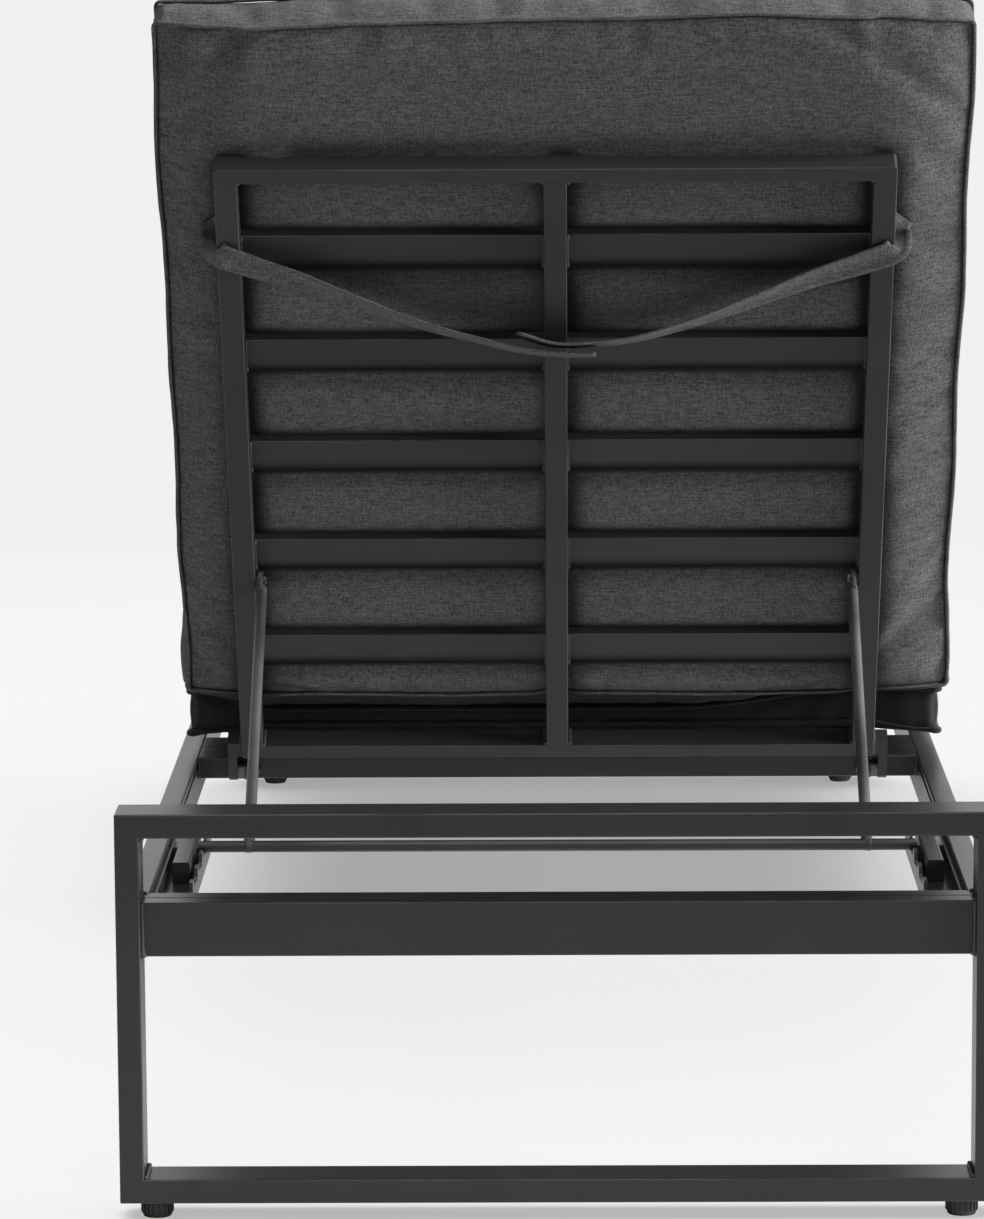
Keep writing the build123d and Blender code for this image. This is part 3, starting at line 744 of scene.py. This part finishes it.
    def _round_corners(self, x: np.ndarray, y: np.ndarray, half: float,
                       long: float) -> tuple[np.ndarray, np.ndarray]:
        """Round the corners of the plan.

        Args:
            x: Places across, from the middle.
            y: Places along, from the middle.
            half: Half the width.
            long: Half the length.

        Returns:
            The places moved into rounded corners.
        """
        r = self.corner
        qx, qy = (np.clip((np.abs(v) - (reach - r)) / r, 0, 1) for v, reach in ((x, half), (y, long)))
        new_x = np.where(qx > 0, half - r + r * qx * np.sqrt(1 - qy ** 2 / 2), np.abs(x))
        new_y = np.where(qy > 0, long - r + r * qy * np.sqrt(1 - qx ** 2 / 2), np.abs(y))
        return np.sign(x) * new_x, np.sign(y) * new_y

    def add_cloth(self) -> None:
        """Make the piece cloth under pressure, held at its seams."""
        cloth = self.piece.modifiers.new("cloth", "CLOTH")
        cloth.point_cache.frame_start, cloth.point_cache.frame_end = 1, CLOTH_FRAMES
        settings = cloth.settings
        settings.quality, settings.mass = 5, 0.3
        settings.tension_stiffness = settings.compression_stiffness = 18.0
        settings.shear_stiffness, settings.bending_stiffness = 6.0, 3.0
        settings.use_pressure, settings.uniform_pressure_force = True, 4.0
        settings.shrink_min = -0.012
        settings.vertex_group_mass, settings.pin_stiffness = "seam", 1.0
        settings.effector_weights.gravity = 0.0

    def take_cloth(self) -> None:
        """Keep what the cloth did, within a cap, and lay the resting face on its slats."""
        points = self.start_shape.copy()
        cloth = self.piece.modifiers.get("cloth")
        if cloth:
            graph = bpy.context.evaluated_depsgraph_get()
            blown = np.empty(3 * len(points), dtype=np.float32)
            self.piece.evaluated_get(graph).data.vertices.foreach_get("co", blown)
            points += self._capped(blown.reshape(-1, 3).astype(float) - points, self._room(points))
            self.piece.modifiers.remove(cloth)
        room = self._room(points)
        resting = (self.keys[:, 2] == 0) & (np.abs(points[:, 0]) < self.resting)
        lowest = self.rest + 0.0003 - room
        points[:, 2] = np.maximum(points[:, 2] - self.sag * room * resting, lowest)
        self.piece.data.vertices.foreach_set("co", points.ravel())
        self.piece.data.update()
        self.final = points
        smooth = self.piece.modifiers.new("smooth", "SUBSURF")
        smooth.levels = smooth.render_levels = 1
        self._declare(self.piece)
        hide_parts(self.node)
        self._pipe()

    def _capped(self, moves: np.ndarray, room: np.ndarray) -> np.ndarray:
        """Hold the cloth's moves within its faces' caps.

        Args:
            moves: How far the cloth moved each point.
            room: How far the resting face may swell there.

        Returns:
            The moves, none longer than its cap.
        """
        size = np.linalg.norm(moves, axis=1) + 1e-9
        level = self.keys[:, 2]
        rear, front, sides = 0.0018 + self.sag * room, 0.006, 0.0028
        cap = np.where(level == 0, rear, np.where(level == level.max(), front, sides))
        return moves * (cap * np.tanh(size / cap) / size)[:, None]

    def _room(self, points: np.ndarray) -> np.ndarray:
        """How far the resting face may swell at each point, past what carries it."""
        return np.zeros(len(points))

    def _declare(self, piece: bpy.types.Object) -> None:
        """Say what the piece rides on."""
        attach(piece, self.body.value)

    def _pipe(self) -> None:
        """Sew the piping round both faces."""
        for k, ring in self.seams.items():
            seam = self.final[ring]
            middle = seam.mean(axis=0)
            ahead = np.roll(seam, -1, 0) - np.roll(seam, 1, 0)
            out = np.stack([ahead[:, 1], -ahead[:, 0], np.zeros(len(seam))], axis=1)
            out /= np.linalg.norm(out, axis=1, keepdims=True)
            lift = -1.0 if k == 0 else 1.0
            turn = self._corner_share(seam)
            jitter = np.array([noise.noise(Vector(p) * 90.0) for p in seam])
            stray = np.array([noise.noise_vector(Vector(p) * 45.0 + Vector((k, 0, 0))) for p in seam])
            stray = stray * 0.00055 + np.roll(stray, 7, axis=0) * 0.0003
            beside = out * (0.0012 + 0.0026 * turn)[:, None]
            path = seam + beside + np.array([0, 0, lift]) * 0.0011 + stray
            radii = self.piping * (1 + 0.16 * jitter + 0.95 * turn)
            name = f"{self.name}_piping_{'rear' if k == 0 else 'front'}"
            piece = make_piece(name, tube(path, radii), self.cloth, self.stand, 1)
            self._declare(piece)
            LOG.info("%s: %d points", piece.name, len(piece.data.vertices))

    def _corner_share(self, seam: np.ndarray) -> np.ndarray:
        """Find the corners of a seam.

        Args:
            seam: The seam's points.

        Returns:
            1 at the corners, falling to 0 along the sides.
        """
        low, high = seam.min(axis=0), seam.max(axis=0)
        corners = np.array([(x, y) for x in (low[0], high[0]) for y in (low[1], high[1])])
        away = np.linalg.norm(seam[:, None, :2] - corners[None], axis=2).min(axis=1)
        return np.exp(-(away / 0.0075) ** 2)


@dataclass
class BackCushion(BoxCushion):
    """The backrest's cushion, which swells a little between the slats and past the frame."""

    frame_half: float = 0.2925
    frame_end: float = 0.666
    side_bar: float = 0.2725
    centre_bar: float = 0.010
    groove: float = 0.015
    pillow: float = 0.0062
    rounding: float = 0.015
    overhang: float = 0.006

    def _room(self, points: np.ndarray) -> np.ndarray:
        """Find how far the resting face may swell past the bars that carry it.

        Args:
            points: The cushion's points.

        Returns:
            The room at each point.
        """
        x, y = np.abs(points[:, 0]), points[:, 1]
        off = np.minimum(self.side_bar - x, x - self.centre_bar)
        for slat in range(SLATS):
            low = SLAT_FIRST + SLAT_PITCH * slat
            off = np.minimum(off, np.maximum(low - y - self.groove, y - (low + SLAT_WIDTH)))
        between = self.pillow * np.sqrt(1 - (1 - np.clip(off / self.rounding, 0, 1)) ** 2)
        past = np.maximum(x - self.frame_half, y - self.frame_end)
        free = self.overhang * np.clip(past / 0.02, 0, 1)
        return np.maximum(between * (past < 0), free)


# ---- straps ----
@dataclass
class StrapBand:
    """A hemmed band of the cushion's cloth, hung round one side bar to behind the middle."""

    where: str
    side: int
    lift: float
    curl: float
    stand: Matrix
    cloth: bpy.types.Material
    width: float = 0.024
    thick: float = 0.0022
    hem: float = 0.0048
    place: float = 584.0
    out: float = 294.4
    inner: float = 272.5
    rear: float = -14.4
    wrap: tuple[Point, ...] = ((5.06, 17.6, 10.96), (1.54, 13.2, 6.25), (0.44, 3.3, -10.52),
                               (-0.44, 0.44, -13.41), (-2.42, -0.99, -14.4))
    sag: float = 92.0
    belly: float = 14.0
    lap: float = 35.0
    hang: tuple[tuple[float, float, float, float], ...] = (
        (0.0, 0.109, 0.043, -4), (0.185, 0.304, 0.18, -20), (0.347, 0.511, 0.286, -32),
        (0.501, 0.696, 0.43, -40), (0.633, 0.826, 0.643, -44), (0.754, 0.913, 0.857, -47))

    def build(self) -> None:
        """Hang the band."""
        centre, turns = self._line()
        name = f"strap_band_{self.where}"
        piece = make_piece(name, self._loft(centre, turns), self.cloth, self.stand)
        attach(piece, Body.BACKREST.value)
        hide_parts(f"strap_{self.where}")
        outward = self.stand.to_3x3() @ Vector((0.0, 0.0, 1.0))
        rear_face = HINGE - 0.013 * outward
        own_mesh(piece)

    def _stations(self) -> np.ndarray:
        """List the places that the band passes.

        Returns:
            Their x, y, z and twist, in millimetres and degrees.
        """
        path = [(self.out + beside, self.place + up, depth, 0) for beside, up, depth in self.wrap]
        path += [(self.inner * (1 - way), self.place - self.sag * sag,
                  self.rear - self.belly * belly, twist) for way, sag, belly, twist in self.hang]
        low, behind = self.place - self.sag, self.rear - self.belly
        path += [(0.86 * self.lap, low + 1.98 + 0.6 * self.lift, behind, -48),
                 (0.0, low + self.lift, behind, -49), (-self.lap, low + self.curl, behind, -49)]
        return np.array([(self.side * x, u, n, self.side * twist) for x, u, n, twist in path])

    def _line(self) -> tuple[np.ndarray, np.ndarray]:
        """Draw a smooth line through the band's places.

        Returns:
            The centre line in metres and its twist in radians, finely divided.
        """
        rough = self._stations()
        far = np.concatenate([[0.0], np.cumsum(np.linalg.norm(np.diff(rough[:, :3], axis=0), axis=1))])
        bend = far[len(self.wrap) - 1]
        fine = np.unique(np.concatenate([np.linspace(0, bend, 25), np.linspace(bend, far[-1], 90)]))
        slope = np.gradient(rough, far, axis=0)
        slot = np.clip(np.searchsorted(far, fine, side="right") - 1, 0, len(far) - 2)
        gap = far[slot + 1] - far[slot]
        t = ((fine - far[slot]) / gap)[:, None]
        leave, arrive = slope[slot] * gap[:, None], slope[slot + 1] * gap[:, None]
        smooth = ((2 * t ** 3 - 3 * t ** 2 + 1) * rough[slot] + (t ** 3 - 2 * t ** 2 + t) * leave
                  + (3 * t ** 2 - 2 * t ** 3) * rough[slot + 1] + (t ** 3 - t ** 2) * arrive)
        return smooth[:, :3] * MM, np.radians(smooth[:, 3])

    def _profile(self) -> list[tuple[float, float]]:
        """Draw the band's cross-section, thicker at its two hems.

        Returns:
            Its corners, across and through the band.
        """
        half, thin, hemmed = self.width / 2, self.thick * 0.33, self.thick / 2
        upper = [(half, 0.3 * self.thick), (half - 0.0007, hemmed), (half - self.hem, hemmed),
                 (half - self.hem - 0.0006, thin), (0.0, thin)]
        across = upper + [(-w, t) for w, t in reversed(upper[:-1])]
        return across + [(w, -t) for w, t in reversed(across)]

    def _loft(self, centre: np.ndarray, turns: np.ndarray) -> Shape:
        """Sweep the cross-section along the band.

        Args:
            centre: The centre line.
            turns: The twist along it.

        Returns:
            The band's points and faces.
        """
        profile, last = self._profile(), None
        points: list[Point] = []
        for along, place, turn in zip(np.gradient(centre, axis=0), centre, turns):
            along = along / np.linalg.norm(along)
            flat = np.cross([0.0, 0.0, 1.0], along)
            flat = flat / np.linalg.norm(flat) if np.linalg.norm(flat) > 0.2 else last
            if last is not None and flat.dot(last) < 0:
                flat = -flat
            last = flat
            normal = np.cross(along, flat)
            normal /= np.linalg.norm(normal)
            wide = flat * math.cos(turn) - normal * math.sin(turn)
            deep = normal * math.cos(turn) + flat * math.sin(turn)
            points += [tuple(place + wide * w + deep * t) for w, t in profile]
        return points, skin(len(centre), len(profile), False)


# ---- welds ----
@dataclass(frozen=True)
class Bead:
    """A rippled weld along a straight corner, in millimetres."""

    start: Point
    end: Point
    radius: float = 1.7
    knob: float = 0.0

    def mirrored(self, x: int, y: int = 1) -> "Bead":
        """The bead's mirror image where x or y is -1."""
        start, end = (tuple(np.multiply(place, (x, y, 1)).tolist()) for place in (self.start, self.end))
        return replace(self, start=start, end=end)

    def shape(self) -> Shape:
        """Lay the bead, with rippled scales and closed ends.

        Returns:
            Its points and faces, in metres.
        """
        first, last = np.array(self.start), np.array(self.end)
        length = float(np.linalg.norm(last - first))
        far = np.linspace(0, length, max(6, round(length / 0.65)))
        path = first + (last - first) * (far / length)[:, None]
        stray = np.array([noise.noise_vector(Vector(p) * 0.35) for p in path])
        ripple = 0.9 + 0.2 * np.abs(np.sin(math.pi * far / 2.3)) + 0.12 * stray[:, 0]
        from_end = np.minimum(far, length - far)
        closing = np.sqrt(np.clip(1 - (1 - np.clip(from_end / self.radius, 0.04, 1)) ** 2, 0.02, 1))
        swell = 1 + self.knob * np.exp(-((far - self.radius) / 2.5) ** 2)
        radii = self.radius * ripple * closing * swell
        return tube((path + 0.14 * stray) * MM, radii * MM, sides=8, closed=False)


@dataclass
class WeldSeams:
    """The beads of one body as one piece."""

    name: str
    body: Body
    slot: Slot
    coat: bpy.types.Material
    stand: Matrix
    beads: list[Bead]

    def build(self) -> None:
        """Lay the beads."""
        points: list[Point] = []
        faces: list[tuple[int, ...]] = []
        for bead in self.beads:
            more, rings = bead.shape()
            base = len(points)
            points += more
            faces += [tuple(base + v for v in face) for face in rings]
        piece = make_piece(self.name, (points, faces), self.coat, self.stand)
        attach(piece, self.body.value)
        LOG.info("%s: %d beads", self.name, len(self.beads))


def frame_beads() -> list[Bead]:
    """List the beads of the loops, end rails, side rails and hinge lugs.

    Returns:
        The beads.
    """
    corner = (Bead((339.3, 955.7, 219), (339.3, 955.7, 265), 2.3, 0.9),
              Bead((339.4, 955, 265.6), (339.4, 936, 265.6)),
              Bead((339.4, 955, 219.4), (339.4, 936, 219.4), 1.6),
              Bead((338.7, 921, 318.7), (338.7, 964, 318.7), 2.4),
              Bead((338.7, 921, 36.3), (338.9, 964, 36.1), 2.2),
              Bead((355.3, 919.3, 226), (355.3, 919.3, 265), 1.8),
              Bead((337, 919.3, 265.3), (355, 919.3, 265.3)))
    lug = (Bead((334.5, 314.5, 246), (334.5, 314.5, 264)),
           Bead((285.7, 314.6, 248), (285.7, 314.6, 263), 1.2),
           Bead((291.2, 314.6, 248), (291.2, 314.6, 263), 1.2))
    return ([bead.mirrored(x, y) for x in (-1, 1) for y in (-1, 1) for bead in corner]
            + [bead.mirrored(x) for x in (-1, 1) for bead in lug])


def back_beads() -> list[Bead]:
    """List the beads of the backrest's frame, in its own plane.

    Returns:
        The beads.
    """
    beads = [Bead((293.1, 39.0, -9), (293.1, 39.0, 9), 1.5),
             Bead((293.0, 24.5, -9.4), (293.0, 38.5, -9.4), 1.4)]
    for u, inward in ((652.0, -1), (37.5, 1)):
        beads += [Bead((271.7, u + 0.7 * inward, -12), (271.7, u + 0.7 * inward, 12), 1.8),
                  Bead((10.8, u + 0.8 * inward, -12), (10.8, u + 0.8 * inward, 12), 2.4)]
    for slat in range(SLATS):
        low = (SLAT_FIRST + SLAT_PITCH * slat) / MM
        for at in (272.0, 10.5):
            beads += [Bead((at, low - 0.6, -0.3), (at, low + 5.5, -0.3)),
                      Bead((at, low + 5.5, -0.2), (at, low + 27.5, -0.2), 1.0),
                      Bead((at, low + 27.5, -0.3), (at, low + 33.6, -0.3))]
    return [bead.mirrored(x) for x in (-1, 1) for bead in beads]


def prop_beads() -> list[Bead]:
    """Collars where the arms meet the cross rod."""
    return [Bead((x * 259.5, 691.0, 257.5), (x * 273.5, 691.0, 257.5), 5.35) for x in (-1, 1)]


def welds(coat: bpy.types.Material, painted_light_backrest_coat: bpy.types.Material, prop: bpy.types.Material) -> None:
    """Lay the welds of all three bodies.

    Args:
        coat: The frame's finish.
        painted_light_backrest_coat: The backrest's finish.
        prop: The prop's finish.
    """
    level, tilted = Matrix.Identity(4), leaning_plane()
    WeldSeams("frame_welds", Body.FRAME, Slot.FRAME_COAT, coat, level, frame_beads()).build()
    # The backrest's welds take its lighter copy of the coat, with painted light.
    WeldSeams("backrest_welds", Body.BACKREST, Slot.FRAME_COAT, painted_light_backrest_coat, tilted, back_beads()).build()
    WeldSeams("prop_welds", Body.PROP, Slot.PROP_COAT, prop, level, prop_beads()).build()


# ---- the studio ----
@dataclass(frozen=True)
class Sun:
    """A soft lamp, which fills an angle as seen from the lounger."""

    name: str
    from_side: Point
    strength: float
    degrees: float

    def hang(self) -> None:
        """Hang the lamp."""
        lamp = bpy.data.lights.new(self.name, "SUN")
        lamp.energy, lamp.angle = self.strength, math.radians(self.degrees)
        holder = bpy.data.objects.new(self.name, lamp)
        holder.rotation_euler = Vector(self.from_side).to_track_quat("Z", "Y").to_euler()
        holder.visible_glossy = False
        bpy.context.scene.collection.objects.link(holder)


@dataclass
class Studio:
    """Pale floor with painted shadow under the lounger, soft light and the camera."""

    pale: float = 0.921
    daylight: float = 0.13
    # Level of the floor's glow in its darkest painted shadow.
    deep: float = 0.385
    glow: float = 0.94
    lens: float = 157.02
    stand: Point = (0.0, 5.1894, 1.1794)
    aim: Point = (0.0122, -0.9875, -0.1571)
    roll: float = math.radians(0.34)
    floor_size: float = 80.0
    floor_tone: Colour = (0.9, 0.9, 0.9)
    far_tone: Colour = (0.12, 0.12, 0.12)
    samples: int = 16
    suns: tuple[Sun, ...] = (Sun("key_sun", (-0.95, 0.09, 0.24), 8.0, 38.0),
                             Sun("top_sun", (0.05, 0.15, 1.0), 1.1, 60.0),
                             Sun("fill_sun", (0.3, 0.9, 0.5), 0.08, 70.0))

    def build(self) -> None:
        """Add the camera, the floor, the world and the lamps."""
        self._camera()
        self._floor()
        self._world()
        for sun in self.suns:
            sun.hang()
        bpy.context.scene.view_settings.view_transform = "Standard"

    def _camera(self) -> None:
        """Set the camera up."""
        data = bpy.data.cameras.new("camera")
        data.lens, data.sensor_width = self.lens, 36.0
        data.clip_end = 200.0
        camera = bpy.data.objects.new("camera", data)
        ahead = Vector(self.aim).normalized()
        right = ahead.cross(Vector((0, 0, 1))).normalized()
        up = right.cross(ahead)
        turned = right * math.cos(self.roll) - up * math.sin(self.roll)
        up = turned.cross(ahead)
        axes = Matrix((turned, up, -ahead)).transposed()
        camera.matrix_world = Matrix.Translation(Vector(self.stand)) @ axes.to_4x4()
        bpy.context.scene.collection.objects.link(camera)
        bpy.context.scene.camera = camera

    def _floor(self) -> None:
        """Lay the floor, whose glow to the camera carries painted shadow under the seat and round the feet.
        """
        half = self.floor_size / 2
        mesh = bpy.data.meshes.new("floor")
        corners = [(-half, -half, 0), (half, -half, 0), (half, half, 0), (-half, half, 0)]
        mesh.from_pydata(corners, [], [(0, 1, 2, 3)])
        floor = bpy.data.objects.new("floor", mesh)
        bpy.context.scene.collection.objects.link(floor)
        shader = Shader("studio_floor", {"Roughness": 0.9, "Specular IOR Level": 0.0})
        away = shader.node("ShaderNodeVectorMath", {"operation": "LENGTH"}, {0: shader.place()}, "Value")
        shader.feed(Base_Color=shader.mix(away.between(1.6, 3.4), self.floor_tone, self.far_tone))
        # Painted shadow in the floor's glow: deep under the seat, faint past the head end, and at every
        # contact.
        ahead = shader.split(shader.place())[1]
        under = 1.0 - shader.openness(0.5, self.samples).between(0.42, 0.93)
        under = under * (1.0 - ahead.between(-0.32, 0.0) * 0.88)
        painted_contact_shadow = 1.0 - shader.openness(0.05, self.samples).between(0.3, 0.78)
        level = self.pale - under.math("MAXIMUM", painted_contact_shadow * 0.8) * (self.pale - self.deep)
        glow = shader.node("ShaderNodeEmission", {}, {"Strength": level})
        lit = Sock(shader, shader.surface.outputs[0])
        shader.pick(shader.ray("Camera") * self.glow, lit, glow, "Material Output")
        floor.data.materials.append(shader.material)

    def _world(self) -> None:
        """Give the world its soft light, and its pale face to the camera and to gloss."""
        world = bpy.data.worlds.new("studio")
        bpy.context.scene.world = world
        nodes = Nodes(world)
        seen = nodes.ray("Camera").math("MAXIMUM", nodes.ray("Glossy"))
        seen = seen.math("MAXIMUM", nodes.ray("Transmission"))
        face = nodes.node("ShaderNodeBackground", {}, {"Color": (*(self.pale,) * 3, 1.0)})
        white = {"Color": (1.0, 1.0, 1.0, 1.0), "Strength": self.daylight}
        nodes.pick(seen, nodes.node("ShaderNodeBackground", {}, white), face, "World Output")


@dataclass
class Metalwork:
    """The CAD nodes that stay, dressed by slot."""

    coats: Mapping[Slot, bpy.types.Material]
    own: Mapping[str, bpy.types.Material]

    def dress(self) -> None:
        """Give every node the material of its slot, or its own where its name starts so."""
        slots = {part["node"]: part["material_slot"] for part in frame["record"]["subparts"]}
        for name, node in frame["nodes"].items():
            slot = Slot(slots[name])
            if slot in self.coats:
                mine = [coat for start, coat in self.own.items() if name.startswith(start)]
                node.data.materials.clear()
                node.data.materials.append((mine or [self.coats[slot]])[0])


# Where the back cushion's weight presses, across: from, to and the easing of both ends.
SUNK = (-0.27, 0.345, 0.17, 0.07)


def back_cushion(cloth: bpy.types.Material) -> BackCushion:
    """Size the back cushion, whose lower front edge spreads onto the seat.

    Args:
        cloth: Its material.

    Returns:
        The cushion.
    """
    return BackCushion(
        "cushion_back", "back_cushion", Body.BACKREST, leaning_plane(), (0.085, 0.793), 0.0125, cloth,
        left=(Wave(0.0011, 0.21, 0.1), Wave(0.0007, 0.34, 0.4)),
        right=(Wave(0.0012, 0.2, 0.62), Swell(0.0035, 0.1, 0.06)),
        far=(Swell(0.0095, -0.215, 0.26), Swell(-0.014, -0.37, 0.055), Wave(0.0006, 0.17, 0.2),
             Swell(-0.002, -0.309, 0.009), Swell(-0.002, 0.0, 3.0), Swell(0.002, 0.09, 0.07),
             Swell(-0.0045, 0.34, 0.1), Swell(-0.004, -0.28, 0.09)),
        near=(Swell(-0.0065, 0.0, 3.0), Wave(0.0009, 0.25, 0.3), Swell(-0.003, 0.33, 0.06)),
        toe=(Swell(0.033, 0.0, 3.0), Level(0.0175, *SUNK)), cheek=(Swell(0.0085, 0.118, 0.05),),
        side_in=0.018, end_in=0.009, margin=0.076)


def seat_cushion(cloth: bpy.types.Material) -> BoxCushion:
    """Size the seat cushion, pressed down at its head end by the back cushion.

    Args:
        cloth: Its material.

    Returns:
        The cushion.
    """
    return BoxCushion(
        "cushion_seat", "seat_cushion", Body.FRAME, Matrix.Identity(4), (-0.916, 0.295), 0.28, cloth,
        left=(Wave(0.0012, 0.31, 0.2), Wave(0.0008, 0.19, 0.7)), right=(Wave(0.0013, 0.27, 0.5),),
        far=(Wave(0.001, 0.22, 0.1),), near=(Wave(0.0012, 0.26, 0.6),),
        brim=(Swell(-0.0065, 0.0, 3.0), Level(-0.017, *SUNK)),
        keel=(Level(0.007, -0.33, 0.33, 0.05, 0.05),), side_in=0.006, end_in=0.0075, margin=0.03)


def cushions() -> None:
    """Make both cushions and their straps."""
    # The back cloth has painted shade on its lower end and in lines under the slats; the seat cloth has it
    # on its head end.
    back = MelangeCloth("back_cloth", painted_shade_end=-1.0, paints_slat_lines=True).make()
    seat = MelangeCloth("seat_cloth", painted_shade_end=1.0).make()
    strap = MelangeCloth("strap_cloth").make()
    made = (back_cushion(back), seat_cushion(seat))
    for cushion in made:
        cushion.build()
        cushion.add_cloth()
    for number in range(1, CLOTH_FRAMES + 1):
        bpy.context.scene.frame_set(number)
    for cushion in made:
        cushion.take_cloth()
        LOG.info("%s: %d faces", cushion.name, len(cushion.faces))
    bpy.context.scene.frame_set(1)
    for where, side, lift, curl in (("left", 1, -6.0, -6.6), ("right", -1, 4.0, 16.0)):
        StrapBand(where, side, lift, curl, leaning_plane(), strap).build()


def main() -> None:
    """Build the lounger's looks and its studio."""
    logging.basicConfig(level=logging.INFO, format="%(name)s: %(message)s")
    noise.seed_set(NOISE_SEED)
    Studio().build()
    coat = PowderCoat("frame_coat", (0.023, 0.0245, 0.024), (0.1, 0.102, 0.1))
    prop = PowderCoat("prop_coat", (0.045, 0.0465, 0.045), (0.16, 0.16, 0.157), 0.3, 0.25)
    coats = {Slot.FRAME_COAT: coat.make(), Slot.PROP_COAT: prop.make(), Slot.FASTENERS: ZincPlate().make(),
             Slot.GLIDE: MouldedPlastic("glide_plastic", (0.012, 0.012, 0.012)).make(),
             Slot.SPACER: MouldedPlastic("spacer_plastic", (0.02, 0.02, 0.02)).make()}
    # Painted light: the backrest's coat is a lighter copy of the frame's coat, to brighten faces that lean
    # back and turn down from the light.
    back = PowderCoat("frame_coat_painted_light", (0.04, 0.0425, 0.0418), (0.12, 0.123, 0.121), 0.3, 0.2,
                      lean=BACK_ANGLE)
    # The slats' copy of the coat also has painted shade along their lower edges.
    painted_light_backrest_coat, slat = back.make(), replace(back, name="slat_coat_painted_shade", paints_slat_shade=True).make()
    rod = PowderCoat("rod_coat", (0.026, 0.027, 0.0265), (0.1, 0.1, 0.098)).make()
    own = {"back_slat": slat, "back_": painted_light_backrest_coat, "hinge_ear": painted_light_backrest_coat, "prop_rod": rod}
    Metalwork(coats, own).dress()
    welds(coats[Slot.FRAME_COAT], painted_light_backrest_coat, coats[Slot.PROP_COAT])
    cushions()


if __name__ == "__main__":
    main()
